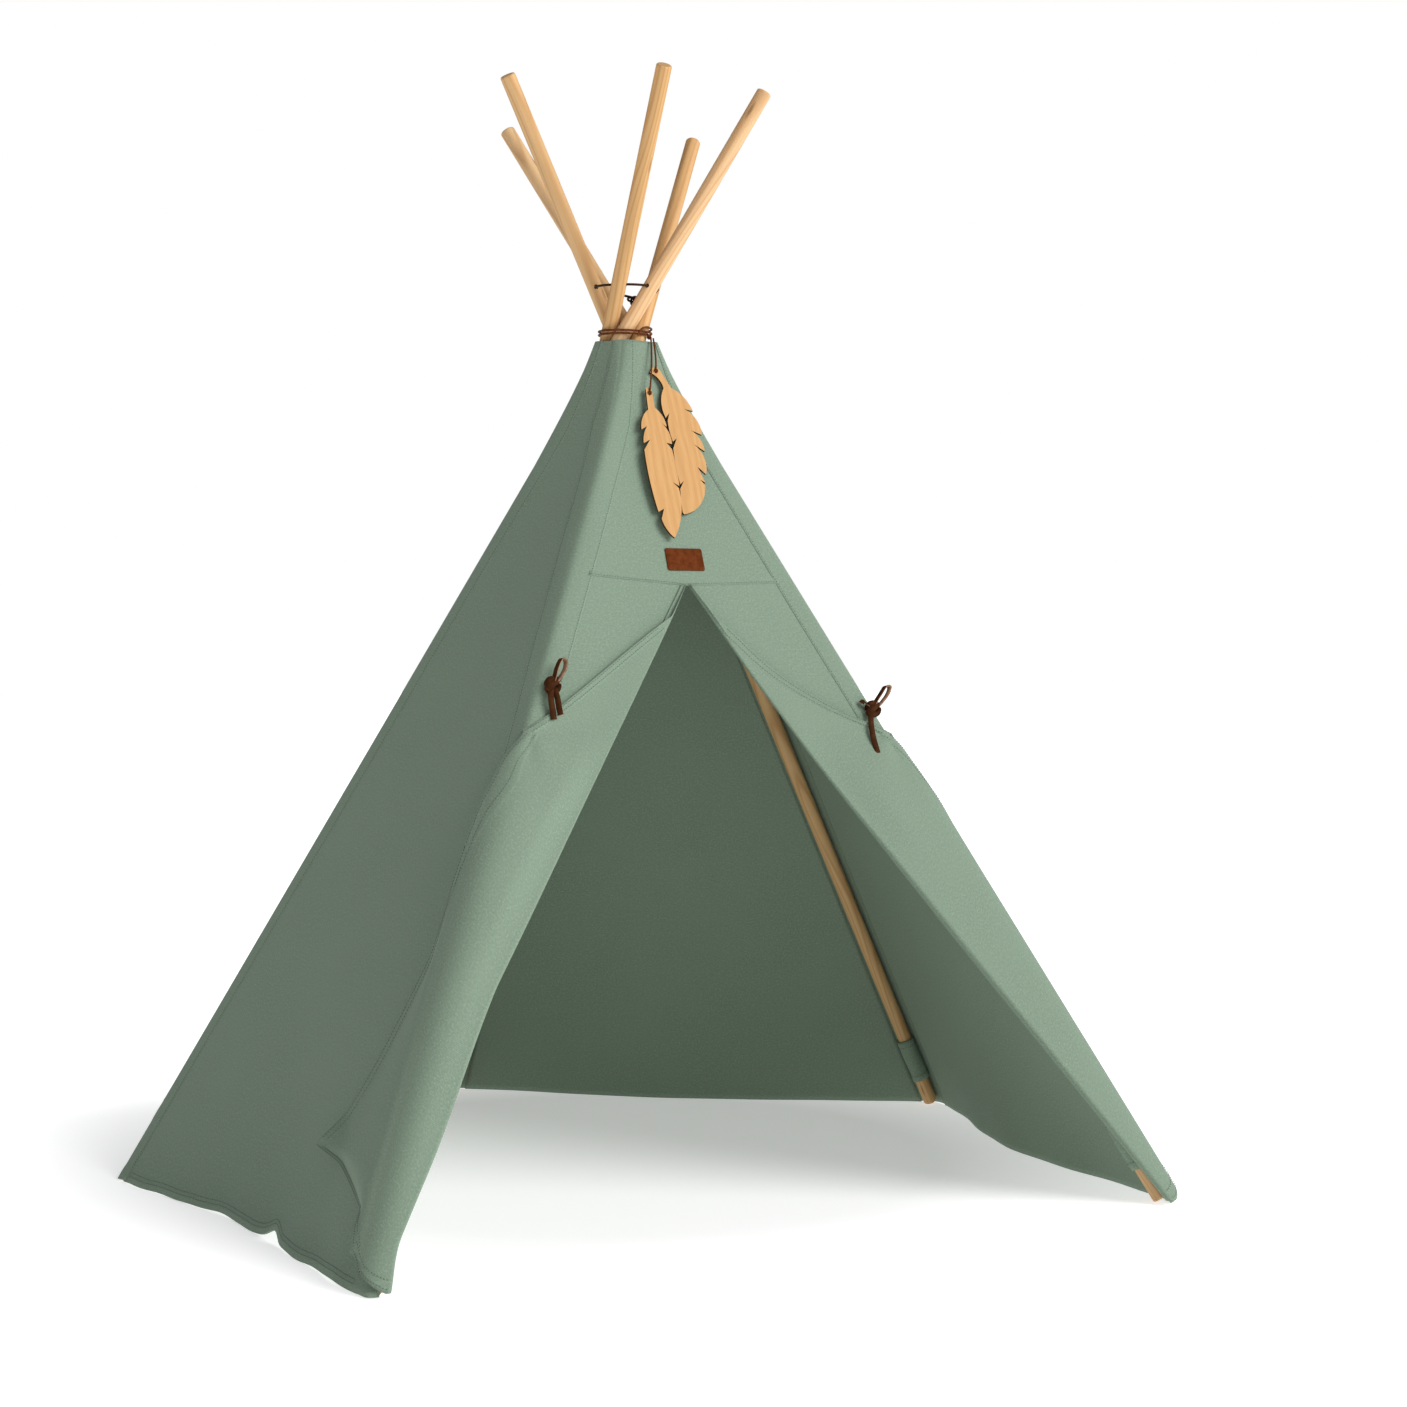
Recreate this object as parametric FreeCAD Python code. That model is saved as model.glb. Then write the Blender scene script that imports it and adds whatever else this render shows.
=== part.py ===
"""A five-pole play tent: round wooden poles lashed where they cross, with a canvas cover that folds up with them.

Millimetres, +Z up. The origin lies on the floor, under the middle of the tent; the doorway faces -Y.
Poles are listed counter-clockwise as seen from above, so each panel runs from its own pole to the next one.
"""

import FreeCAD, Part
import math
import os

Vec = FreeCAD.Vector

# ---- driving dimensions ----------------------------------------------------------------------------------
HUB_X, HUB_Y = 8.4, -84.0          # where the poles cross, seen from above
POLE_LENGTH = 1800.0
POLE_RADIUS = 11.0
POLE_END_ROUND = 3.0
CROSSING_HEIGHT = 1216.0
CROSSING_RADIUS = 24.6             # how far each pole passes from the middle of the bundle
HOLE_RADIUS = 3.3                  # cross-drilled hole for the lashing cord
HOLE_ABOVE_CROSSING = 71.5         # along the pole

# name: (direction of the foot in degrees, distance of the foot from the middle, direction of the ridge from the pole)
POLES = {
    "front_left": (223.1, 777.0, 232.0),
    "front_right": (316.9, 777.0, 312.0),
    "right": (20.0, 711.0, 21.0),
    "back": (90.0, 713.0, 90.0),
    "left": (160.0, 711.0, 159.0),
}
ORDER = list(POLES)

CLOTH = 1.5                        # canvas thickness
CLOTH_ACROSS = 1.7                 # the same canvas measured level, across a sloping wall
SEAM_GAP = 1.0                     # each cloth piece stops this far short of its ridge line
HEM_HEIGHT = 0.0
RIDGE_OUT = 20.5                   # ridge line outside the pole's axis, below the knee
KNEE_HEIGHT = 1020.0               # above this the cover flares round the bundle
TOP_HEIGHT = 1198.0
TOP_RADIUS = 50.0
TOP_TURN = 20.0                    # the top corners sit this many degrees further round than the feet
FRONT_TOP_BULGE = 9.0
YOKE_HEIGHT = 850.0                # the seam above the doorway, and the doorway's peak

FOLD_MARGIN = 26.0                 # cloth left on the pole's side of the doorway at the floor
FLAP_GAP = 4.0                     # a folded-back flap lies this far off the cloth under it
FLAP_TIE_HEIGHT = 662.0            # where a flap's hem crosses the ridge, under its tie
FLAP_CORNER = (225.0, 210.0)       # the flap's free corner: up the ridge from the foot, and off it
DOOR_TURN = 178.0

LASHING_RADIUS = 1.75
WRAP_RADIUS = 1.5
FEATHER_CORD_RADIUS = 1.25
WRAP_COIL_RADIUS = 39.3
WRAP_STEPS = 12                    # route points in one turn
WRAP_TURNS = 2
KNOT_DIRECTION = 304.0
FEATHER_THICKNESS = 3.0
LOOP_HEIGHT, LOOP_WIDTH, LOOP_WALL = 47.0, 80.0, 1.2
TIE_WIDTH, TIE_THICKNESS = 9.0, 1.8
LABEL_WIDTH, LABEL_HEIGHT, LABEL_THICKNESS = 59.0, 35.5, 1.4


# ---- small vector helpers --------------------------------------------------------------------------------
def level(direction_deg):
    a = math.radians(direction_deg)
    return Vec(math.cos(a), math.sin(a), 0)


def unit(v):
    return v * (1.0 / v.Length)


def mix(a, b, t):
    return a + (b - a) * t


# ---- where the poles and ridges run ----------------------------------------------------------------------
def next_pole(name):
    return ORDER[(ORDER.index(name) + 1) % len(ORDER)]


def lean_deg(name):
    return math.degrees(math.atan2(POLES[name][1], CROSSING_HEIGHT))


def waist(name):
    """The pole's nearest point to the middle of the bundle, which its fold turns about."""
    return level(POLES[name][0] + 90) * CROSSING_RADIUS + Vec(0, 0, CROSSING_HEIGHT)


def pole_direction(name):
    direction, spread, _ = POLES[name]
    return unit(level(direction) * -spread + Vec(0, 0, CROSSING_HEIGHT))


def pole_at(name, z):
    d = pole_direction(name)
    return waist(name) + d * ((z - CROSSING_HEIGHT) / d.z)


def ridge(name, z):
    """A point on the fold of the cover outside a pole."""
    out = level(POLES[name][2]) * RIDGE_OUT
    if z <= KNEE_HEIGHT:
        return pole_at(name, z) + out
    top = level(POLES[name][0] + TOP_TURN) * TOP_RADIUS + Vec(0, 0, TOP_HEIGHT)
    knee = pole_at(name, KNEE_HEIGHT) + out
    return mix(knee, top, (z - KNEE_HEIGHT) / (TOP_HEIGHT - KNEE_HEIGHT))


# ---- building blocks -------------------------------------------------------------------------------------
def plate(points, normal, start, thickness):
    """A flat piece: the outline moved out by start, then thickened along the normal."""
    corners = [p + normal * start for p in points]
    face = Part.Face(Part.makePolygon(corners + corners[:1]))
    return face.extrude(normal * thickness)


def band(sections, depths):
    """A cloth wall through level sections, each a list of inner points with its own depth along outward."""
    wires = []
    for points, outward in zip(sections, depths):
        outer = [p + outward for p in reversed(points)]
        ring = list(points) + outer
        wires.append(Part.makePolygon(ring + ring[:1]))
    return Part.makeLoft(wires, True, True)


def rounded_route(points):
    """Straight runs joined by tangent arcs, each as large as its two runs allow; also the arcs' radii."""
    edges, radii, start = [], [], points[0]
    for before, corner, after in zip(points, points[1:], points[2:]):
        run = min((corner - before).Length, (after - corner).Length)
        into, out = unit(corner - before), unit(after - corner)
        half_turn = into.getAngle(out) / 2.0
        back = 0.45 * run
        first, last = corner - into * back, corner + out * back
        bisector = unit(out - into)
        radius = back / math.tan(half_turn)
        middle = corner + bisector * (radius / math.cos(half_turn) - radius)
        edges.append(Part.LineSegment(start, first).toShape())
        edges.append(Part.Arc(first, middle, last).toShape())
        radii.append(radius)
        start = last
    edges.append(Part.LineSegment(start, points[-1]).toShape())
    return Part.Wire(edges), radii


def tube(points, radius):
    wire, radii = rounded_route(points)
    along = unit(points[1] - points[0])
    profile = Part.Wire(Part.makeCircle(radius, points[0], along))
    sweep = Part.BRepOffsetAPI.MakePipeShell(wire)
    sweep.add(profile)
    sweep.build()
    sweep.makeSolid()
    solid = sweep.shape()
    ideal = math.pi * radius ** 2 * wire.Length
    print("  tube %.0f mm long, volume ratio %.3f, smallest radius %.1f" % (wire.Length, solid.Volume / ideal, min(radii)))
    return solid


# ---- poles -----------------------------------------------------------------------------------------------
def hole_centre(name):
    return waist(name) + pole_direction(name) * HOLE_ABOVE_CROSSING


def hole_direction(name):
    """Level, and square to the line from the middle of the bundle to the hole."""
    c = hole_centre(name)
    return unit(Vec(-c.y, c.x, 0))


def pole_foot(name):
    """The middle of the pole's lower end; its rounded edge touches the floor."""
    lean = math.radians(lean_deg(name))
    rim = POLE_RADIUS - POLE_END_ROUND
    height = POLE_END_ROUND * (1 - math.cos(lean)) + rim * math.sin(lean)
    return pole_at(name, height)


def make_pole(name):
    dowel = Part.makeCylinder(POLE_RADIUS, POLE_LENGTH)
    ends = [e for e in dowel.Edges if isinstance(e.Curve, Part.Circle)]
    dowel = dowel.makeFillet(POLE_END_ROUND, ends)
    turn = FreeCAD.Rotation(Vec(0, 0, 1), pole_direction(name))
    dowel.Placement = FreeCAD.Placement(pole_foot(name), turn)
    reach = 4 * POLE_RADIUS
    along = hole_direction(name)
    drill = Part.makeCylinder(HOLE_RADIUS, 2 * reach, hole_centre(name) - along * reach, along)
    return dowel.cut(drill)


def make_pole_loop(name):
    """A canvas band that holds the foot of the pole in its corner."""
    along = pole_direction(name)
    start = pole_at(name, LOOP_HEIGHT)
    inner = POLE_RADIUS + 0.4
    outer = Part.makeCylinder(inner + LOOP_WALL, LOOP_WIDTH, start, along)
    return outer.cut(Part.makeCylinder(inner, LOOP_WIDTH, start, along))


# ---- cover -----------------------------------------------------------------------------------------------
def wall_section(name, z, bulge):
    """One level line across a wall, between two ridges; a bulge bends its middle outward."""
    a, b = ridge(name, z), ridge(next_pole(name), z)
    along = unit(b - a)
    outward = along.cross(Vec(0, 0, 1))
    a, b = a + along * SEAM_GAP, b - along * SEAM_GAP
    points = [a, b] if bulge is None else [a, mix(a, b, 0.5) + outward * bulge, b]
    return points, outward * CLOTH_ACROSS


def make_wall(name, heights, bulges):
    sections, depths = zip(*[wall_section(name, z, b) for z, b in zip(heights, bulges)])
    return band(sections, depths)


def make_side_panel(name):
    return make_wall(name, [HEM_HEIGHT, KNEE_HEIGHT, TOP_HEIGHT], [None] * 3)


def make_yoke():
    heights = [YOKE_HEIGHT + SEAM_GAP, KNEE_HEIGHT, TOP_HEIGHT]
    return make_wall("front_left", heights, [0.01, 0.01, FRONT_TOP_BULGE])


class Door:
    """The lines that one side of the doorway is laid out from."""

    def __init__(self, side):
        pole, self.far = {"left": ("front_left", "left"), "right": ("front_right", "right")}[side]
        self.foot = ridge(pole, HEM_HEIGHT)
        shoulder = ridge(pole, YOKE_HEIGHT)
        other = ridge({"left": "front_right", "right": "front_left"}[side], YOKE_HEIGHT)
        self.peak = mix(shoulder, other, 0.5)
        self.shoulder = shoulder
        self.inward = unit(other - shoulder)
        self.up_ridge = unit(shoulder - self.foot)
        self.sill = self.foot + self.inward * FOLD_MARGIN
        self.front = self.outward(self.inward, Vec(0, -1, 0))
        self.down = self.front.cross(self.inward)
        if self.down.z > 0:
            self.down = self.down * -1
        beyond = mix(ridge(pole, FLAP_CORNER[0]), ridge(self.far, FLAP_CORNER[0]), 0.3)
        across = beyond - self.foot
        self.side = self.outward(unit(across), level(POLES[pole][0]))
        self.off_ridge = self.side.cross(self.up_ridge)
        if self.off_ridge.dot(across) < 0:
            self.off_ridge = self.off_ridge * -1

    def outward(self, along, roughly):
        n = unit(along.cross(self.up_ridge))
        return n if n.dot(roughly) > 0 else n * -1

    def hinge_start(self):
        return self.sill + self.front * self.hinge_offset()

    def hinge_end(self):
        return self.peak + self.front * self.hinge_offset()

    def hinge_offset(self):
        return (FLAP_GAP + CLOTH) / 2.0

    def crease(self, z):
        """A point of the line that a folded-back flap bends round, at the middle of its cloth."""
        base = self.foot + self.up_ridge * ((z - self.foot.z) / self.up_ridge.z)
        bend = (self.front + self.side) * (1.0 / (1.0 + self.front.dot(self.side)))
        return base + bend * (FLAP_GAP + CLOTH / 2.0)

    def corner(self):
        up, off = FLAP_CORNER
        return self.foot + self.up_ridge * up + self.off_ridge * off


def flat_on(point, origin, normal):
    return point - normal * (point - origin).dot(normal)


def make_strip(door):
    """The canvas between the ridge and the fold of the flap."""
    drop = door.down * SEAM_GAP
    gap = door.inward * SEAM_GAP
    points = [door.foot + gap, door.sill, door.peak + drop - gap, door.shoulder + drop + gap]
    return plate(points, door.front, 0.0, CLOTH)


def make_flap_inner(door):
    edge = 2 * SEAM_GAP
    top = door.peak + door.down * 6 * SEAM_GAP - door.inward * edge * 2
    tie = flat_on(door.crease(FLAP_TIE_HEIGHT), door.foot, door.front)
    low = flat_on(door.crease(HEM_HEIGHT + 8), door.foot, door.front)
    points = [low + door.inward * edge, door.sill + door.up_ridge * 8 - door.inward * edge, top,
              tie + door.inward * edge]
    return plate(points, door.front, FLAP_GAP, CLOTH)


def make_flap_outer(door):
    tie = flat_on(door.crease(FLAP_TIE_HEIGHT), door.foot, door.side)
    low = flat_on(door.crease(HEM_HEIGHT + 8), door.foot, door.side)
    edge = door.off_ridge * SEAM_GAP
    return plate([low + edge, door.corner(), tie + edge], door.side, FLAP_GAP, CLOTH)


def front_face(z):
    """Middle of the yoke's outer face at a height."""
    points, outward = wall_section("front_left", z, 0.0)
    share = max(0.0, (z - KNEE_HEIGHT) / (TOP_HEIGHT - KNEE_HEIGHT))
    return points[1] + outward * (1 + share * FRONT_TOP_BULGE / CLOTH_ACROSS)


class FrontFrame:
    """Axes lying on the yoke: right, down and out, from a point on its middle line."""

    def __init__(self, z_high, z_low):
        high, low = front_face(z_high), front_face(z_low)
        self.right = unit(ridge("front_right", z_low) - ridge("front_left", z_low))
        self.down = unit((low - high) - self.right * (low - high).dot(self.right))
        self.out = self.down.cross(self.right)
        if self.out.y > 0:
            self.out = self.out * -1
        self.origin = high

    def at(self, right, down, out=0.0):
        return self.origin + self.right * right + self.down * down + self.out * out


def make_label():
    frame = FrontFrame(898.0, 865.0)
    lean = -0.5
    right = 3.2 - LABEL_WIDTH / 2
    points = [frame.at(right, 0), frame.at(right + LABEL_WIDTH, 0),
              frame.at(right + LABEL_WIDTH + lean, LABEL_HEIGHT), frame.at(right + lean, LABEL_HEIGHT)]
    return plate(points, frame.out, 0.3, LABEL_THICKNESS)


# ---- feathers --------------------------------------------------------------------------------------------
# Outlines run round the feather, right and down from the hole. Two points are an arc (middle, end), one a line.
LONG_FEATHER_START = (-2.0, 26.0)
LONG_FEATHER = [
    [(-5.7, -5.0)], [(-1.0, -9.5), (3.7, -5.0)], [(8.4, 23.0)],
    [(19.8, 35.5), (26.8, 53.5)], [(19.4, 48.0)], [(29.5, 61.0), (35.0, 81.0)], [(26.4, 79.0)],
    [(35.0, 89.0)], [(41.8, 118.0), (46.4, 147.5)], [(36.5, 141.5)], [(45.6, 151.0)],
    [(49.6, 183.0), (38.8, 228.0)], [(27.0, 215.0), (18.8, 198.0)], [(22.4, 182.5)], [(14.0, 187.5)],
    [(0.8, 139.0), (-7.8, 90.0)], [(0.8, 74.0)], [(-8.7, 80.0)], [(-8.4, 65.0), (-3.6, 52.5)],
    [(-12.2, 58.0)], [(-10.6, 38.5), (-2.0, 26.0)],
]
ROUND_FEATHER_START = (-9.5, 2.0)
ROUND_FEATHER = [
    [(-4.2, -7.6)], [(2.5, -5.5), (8.6, 2.0)], [(16.4, 13.3), (24.3, 26.6)], [(43.5, 40.0), (58.9, 63.5)],
    [(45.2, 60.0)], [(64.0, 76.0), (73.2, 101.5)], [(54.7, 93.5)], [(70.0, 107.5), (77.5, 127.5)],
    [(58.5, 115.0)], [(76.0, 136.0), (79.2, 164.0)], [(66.1, 152.0)], [(78.5, 177.5)],
    [(69.9, 172.0)], [(77.9, 181.5)], [(68.0, 214.0), (44.7, 226.5)], [(42.2, 224.0)],
    [(39.7, 205.0), (38.4, 186.5)], [(44.1, 174.0)], [(38.4, 180.0)], [(31.8, 151.0), (27.6, 123.0)],
    [(32.9, 107.0)], [(27.2, 112.5)], [(21.6, 95.0), (18.9, 79.0)], [(21.3, 67.0)], [(15.8, 74.5)],
    [(8.6, 48.0), (12.4, 27.0)], [(3.4, 11.0), (-9.5, 2.0)],
]
FEATHER_HOLE_RADIUS = 2.0
FEATHER_WIDEN = 1.055              # across
FEATHER_LEAN = 0.205               # to the left for each millimetre down: how the feathers hang
FEATHER_SHORTEN = 0.985            # down
FEATHER_RISE = 0.04                # up for each millimetre to the right


def make_feather(frame, start, outline):
    def hung(point):
        right, down = point
        return frame.at(FEATHER_WIDEN * right - FEATHER_LEAN * down, FEATHER_SHORTEN * down - FEATHER_RISE * right)

    edges, here = [], hung(start)
    for step in outline:
        points = [hung(p) for p in step]
        if len(points) == 1:
            edges.append(Part.LineSegment(here, points[0]).toShape())
        else:
            edges.append(Part.Arc(here, points[0], points[1]).toShape())
        here = points[-1]
    blank = Part.Face(Part.Wire(edges)).extrude(frame.out * FEATHER_THICKNESS)
    drill = Part.makeCylinder(FEATHER_HOLE_RADIUS, 3 * FEATHER_THICKNESS,
                              frame.at(0, 0, -FEATHER_THICKNESS), frame.out)
    return blank.cut(drill)


def feather_frame(z_hole, right, lift):
    """A feather lies flat on the yoke: its axes, with the hole at the origin."""
    frame = FrontFrame(z_hole, z_hole - 215.0)
    frame.origin = frame.at(right, 0, lift)
    return frame


ROUND_FRAME = feather_frame(1152.0, 6.0, 1.5)
LONG_FRAME = feather_frame(1116.0, -13.5, 7.5)


# ---- cords -----------------------------------------------------------------------------------------------
def ring_point(direction_deg, radius, z):
    return level(direction_deg) * radius + Vec(0, 0, z)


LASHING_KNOT = ring_point(51.6, 41.0, 1266.0)
WRAP_KNOT = ring_point(KNOT_DIRECTION, 41.5, 1206.5)


def lashing_route():
    """From the knot through all five drilled holes and back to the knot."""
    lead = 17.5
    points = [LASHING_KNOT]
    for name in ["front_left", "left", "back", "right", "front_right"]:
        centre, along = hole_centre(name), hole_direction(name)
        points += [centre + along * lead, centre - along * lead]
    points.append(LASHING_KNOT + Vec(0, 0, 4.0))
    return points


def wrap_route():
    """Two turns round the bundle, rising, with the end tucked down over the turns."""
    step = 360.0 / WRAP_STEPS
    points = []
    for k in range(WRAP_STEPS * WRAP_TURNS + 1):
        rise = 3.9 * k / WRAP_STEPS + 3.4 * (k / (WRAP_STEPS * WRAP_TURNS)) ** 3
        points.append(ring_point(KNOT_DIRECTION - 4 - step * k, WRAP_COIL_RADIUS, 1208.5 + rise))
    points.append(ring_point(280.0, WRAP_COIL_RADIUS + 4.2, 1216.0))
    points.append(ring_point(272.0, WRAP_COIL_RADIUS + 4.2, 1206.0))
    return points


def long_feather_cord_route():
    return [WRAP_KNOT + Vec(0.5, -5.0, -3.5), LONG_FRAME.at(19.5, -72.0, 1.5), LONG_FRAME.at(9.0, -34.0, 5.5),
            LONG_FRAME.at(1.2, -7.0, 6.0), LONG_FRAME.at(0.0, 0.5, 3.2)]


def round_feather_cord_route():
    return [WRAP_KNOT + Vec(5.0, -3.0, -3.5), ROUND_FRAME.at(4.2, -27.0, 5.2),
            ROUND_FRAME.at(0.6, -7.0, 5.4), ROUND_FRAME.at(0.0, 0.5, 3.2)]


def make_knot(centre, size):
    """A small hard knot: a ball drawn out sideways, with a bight over it."""
    ball = Part.makeSphere(size)
    stretch = FreeCAD.Matrix(1.25, 0, 0, 0, 0, 0.8, 0, 0, 0, 0, 0.9, 0, 0, 0, 0, 1)
    body = ball.transformGeometry(stretch)
    body.translate(centre)
    return body


# ---- leather ties ----------------------------------------------------------------------------------------
class Tie:
    """A leather thong in a half bow over the rolled flap: its place, and where its loop and its end lie."""

    def __init__(self, height, inward, loop, end):
        self.height, self.inward, self.loop, self.end = height, inward, loop, end


# height on the ridge, distance towards the doorway, then right and down from the knot
TIES = {
    "left": Tie(710.0, 16.0, (5.0, -18.0), (-4.0, 48.0)),
    "right": Tie(672.0, 8.0, (15.0, -15.0), (-12.0, 66.0)),
}
TIE_LIFT = 9.0


def make_tie(door, tie):
    """Knot, loop, long end and short end, flat on the front of the cover."""
    out = door.front
    right = door.inward if door.inward.x > 0 else door.inward * -1
    down = door.down
    centre = door.crease(tie.height) + door.inward * tie.inward + out * TIE_LIFT

    def at(r, d, o=0.0):
        return centre + right * r + down * d + out * o

    def strap(points, start, thickness):
        return plate([at(r, d) for r, d in points], out, start, thickness)

    half = TIE_WIDTH / 2
    end_right, end_down = tie.end
    loop_right, loop_down = tie.loop
    bend = (end_right * 0.3 - 1.5, end_down * 0.5)
    knot = strap([(-8, -6), (3, -9), (8, 0), (3, 9), (-6, 6)], -4.0, 8.0)
    long_end = strap([(-half, 4), (half, 4), (bend[0] + half, bend[1]), (end_right + half, end_down),
                      (end_right - half, end_down + 3), (bend[0] - half, bend[1])], -2.0, TIE_THICKNESS)
    short_end = strap([(-4, -5), (-6, 4), (-17, 2), (-16, -7)], -0.5, TIE_THICKNESS)
    loop_centre = at(loop_right, loop_down, -half)
    ring = Part.makeCylinder(10.5, TIE_WIDTH, loop_centre, out)
    ring = ring.cut(Part.makeCylinder(10.5 - TIE_THICKNESS, TIE_WIDTH, loop_centre, out))
    neck = strap([(-3, -6), (3, 0), (loop_right * 0.55 + 3, loop_down * 0.55 + 2),
                  (loop_right * 0.55 - 3, loop_down * 0.55 - 2)], -1.0, TIE_THICKNESS)
    return knot.fuse([long_end, short_end, neck, ring]).removeSplitter()


# ---- the whole tent --------------------------------------------------------------------------------------
def build():
    doors = {side: Door(side) for side in ("left", "right")}
    parts = {}
    for name in ORDER:
        parts["pole_" + name] = make_pole(name)
        parts["pole_loop_" + name] = make_pole_loop(name)
    parts["panel_right"] = make_side_panel("front_right")
    parts["panel_back_right"] = make_side_panel("right")
    parts["panel_back_left"] = make_side_panel("back")
    parts["panel_left"] = make_side_panel("left")
    parts["front_yoke"] = make_yoke()
    for side, door in doors.items():
        parts["door_strip_" + side] = make_strip(door)
        parts["door_flap_inner_" + side] = make_flap_inner(door)
        parts["door_flap_outer_" + side] = make_flap_outer(door)
        parts["leather_tie_" + side] = make_tie(door, TIES[side])
    parts["leather_label"] = make_label()
    parts["lashing_cord"] = tube(lashing_route(), LASHING_RADIUS)
    parts["lashing_knot"] = make_knot(LASHING_KNOT, 6.0)
    parts["wrap_cord"] = tube(wrap_route(), WRAP_RADIUS)
    parts["wrap_knot"] = make_knot(WRAP_KNOT, 3.6)
    parts["feather_long"] = make_feather(LONG_FRAME, LONG_FEATHER_START, LONG_FEATHER)
    parts["feather_round"] = make_feather(ROUND_FRAME, ROUND_FEATHER_START, ROUND_FEATHER)
    parts["feather_cord_long"] = tube(long_feather_cord_route(), FEATHER_CORD_RADIUS)
    parts["feather_cord_round"] = tube(round_feather_cord_route(), FEATHER_CORD_RADIUS)
    return parts


def main():
    os.makedirs("parts", exist_ok=True)
    parts = build()
    for name, shape in parts.items():
        shape.translate(Vec(HUB_X, HUB_Y, 0))
        shape.exportStep("parts/%s.step" % name)
        print("%-24s volume %10.1f  solids %d  valid %s" % (name, shape.Volume, len(shape.Solids), shape.isValid()))


main()
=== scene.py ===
"""Looks for the five-pole play tent: canvas cover, pine poles, cords, plywood feathers, label and ties.

Metres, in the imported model's frame. The cover is laid out from the same driving dimensions as the CAD source.
"""

import math

import bpy
import numpy as np
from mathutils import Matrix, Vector, noise


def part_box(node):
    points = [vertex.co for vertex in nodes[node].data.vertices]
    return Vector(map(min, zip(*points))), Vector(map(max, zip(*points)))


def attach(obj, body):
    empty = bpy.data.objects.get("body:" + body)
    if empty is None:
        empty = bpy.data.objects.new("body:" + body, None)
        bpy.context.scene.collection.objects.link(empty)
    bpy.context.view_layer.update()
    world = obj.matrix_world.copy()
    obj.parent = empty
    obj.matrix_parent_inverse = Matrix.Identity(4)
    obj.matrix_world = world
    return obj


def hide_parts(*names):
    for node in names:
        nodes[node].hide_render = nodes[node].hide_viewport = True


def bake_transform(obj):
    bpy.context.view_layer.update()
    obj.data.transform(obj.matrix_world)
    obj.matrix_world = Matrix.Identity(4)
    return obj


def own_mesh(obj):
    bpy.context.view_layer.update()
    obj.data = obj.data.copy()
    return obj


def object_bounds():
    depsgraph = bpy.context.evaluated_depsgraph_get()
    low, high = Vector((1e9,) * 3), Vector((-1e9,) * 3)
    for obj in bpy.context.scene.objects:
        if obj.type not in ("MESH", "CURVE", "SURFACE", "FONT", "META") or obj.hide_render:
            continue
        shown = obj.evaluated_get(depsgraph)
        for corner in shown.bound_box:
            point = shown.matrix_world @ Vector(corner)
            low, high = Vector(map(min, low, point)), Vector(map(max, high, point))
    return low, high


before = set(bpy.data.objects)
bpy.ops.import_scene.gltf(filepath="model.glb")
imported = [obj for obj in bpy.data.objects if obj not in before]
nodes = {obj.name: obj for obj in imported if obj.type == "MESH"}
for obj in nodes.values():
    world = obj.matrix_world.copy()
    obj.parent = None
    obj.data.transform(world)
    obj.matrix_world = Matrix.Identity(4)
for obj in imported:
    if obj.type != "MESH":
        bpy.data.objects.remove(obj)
cad_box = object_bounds()

# ---- driving dimensions, as in the CAD source --------------------------------
HUB = Vector((0.0084, -0.084, 0.0))              # on the floor, under the place where the poles cross
CROSSING_HEIGHT = 1.216
CROSSING_RADIUS = 0.0246
# direction of the foot in degrees, distance of the foot, direction of the ridge from the pole
POLES = {
    "front_left": (223.1, 0.777, 232.0),
    "front_right": (316.9, 0.777, 312.0),
    "right": (20.0, 0.711, 21.0),
    "back": (90.0, 0.713, 90.0),
    "left": (160.0, 0.711, 159.0),
}
ORDER = list(POLES)
RIDGE_OUT = 0.0205               # ridge line outside the pole's axis, below the knee
KNEE_HEIGHT = 1.020
TOP_HEIGHT = 1.198
TOP_RADIUS = 0.050
TOP_RADIUS_WORN = 0.0492         # the cloth is drawn in a little at the top
TOP_TURN = 20.0
YOKE_HEIGHT = 0.850
FOLD_MARGIN = 0.026
FLAP_CORNER_HEIGHT = 0.134
FLAP_CORNER_OUT = 0.209          # level distance from the ridge to the flap's free corner
CLOTH = 0.0015                   # thickness of the canvas
NEAR = 0.004                     # between points from which a normal is taken
UP = Vector((0, 0, 1))


def level(direction_deg):
    a = math.radians(direction_deg)
    return Vector((math.cos(a), math.sin(a), 0))


def smooth(x):
    x = min(1.0, max(0.0, x))
    return x * x * (3 - 2 * x)


def bump(x, centre, width):
    return math.exp(-((x - centre) / width) ** 2)


def outward(normal, point):
    """The unit normal at a point that faces away from the middle of the tent."""
    normal = normal.normalized()
    return normal if normal.dot(point - HUB) > 0 else -normal


def next_pole(name, steps=1):
    return ORDER[(ORDER.index(name) + steps) % len(ORDER)]


def waist(name):
    return HUB + level(POLES[name][0] + 90) * CROSSING_RADIUS + UP * CROSSING_HEIGHT


def pole_direction(name):
    return (level(POLES[name][0]) * -POLES[name][1] + UP * CROSSING_HEIGHT).normalized()


def pole_at(name, z):
    d = pole_direction(name)
    return waist(name) + d * ((z - CROSSING_HEIGHT) / d.z)


def ridge(name, z):
    """Where two walls would meet outside a pole. It flares round the bundle near the top."""
    out = level(POLES[name][2]) * RIDGE_OUT
    straight = pole_at(name, z) + out
    if z <= KNEE_HEIGHT:
        return straight
    top = HUB + level(POLES[name][0] + TOP_TURN) * TOP_RADIUS_WORN + UP * TOP_HEIGHT
    knee = pole_at(name, KNEE_HEIGHT) + out
    t = (z - KNEE_HEIGHT) / (TOP_HEIGHT - KNEE_HEIGHT)
    chord = knee.lerp(top, t)
    flare = (pole_at(name, z) + out).lerp(chord, t * t)
    return chord.lerp(flare, 0.55)


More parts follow.
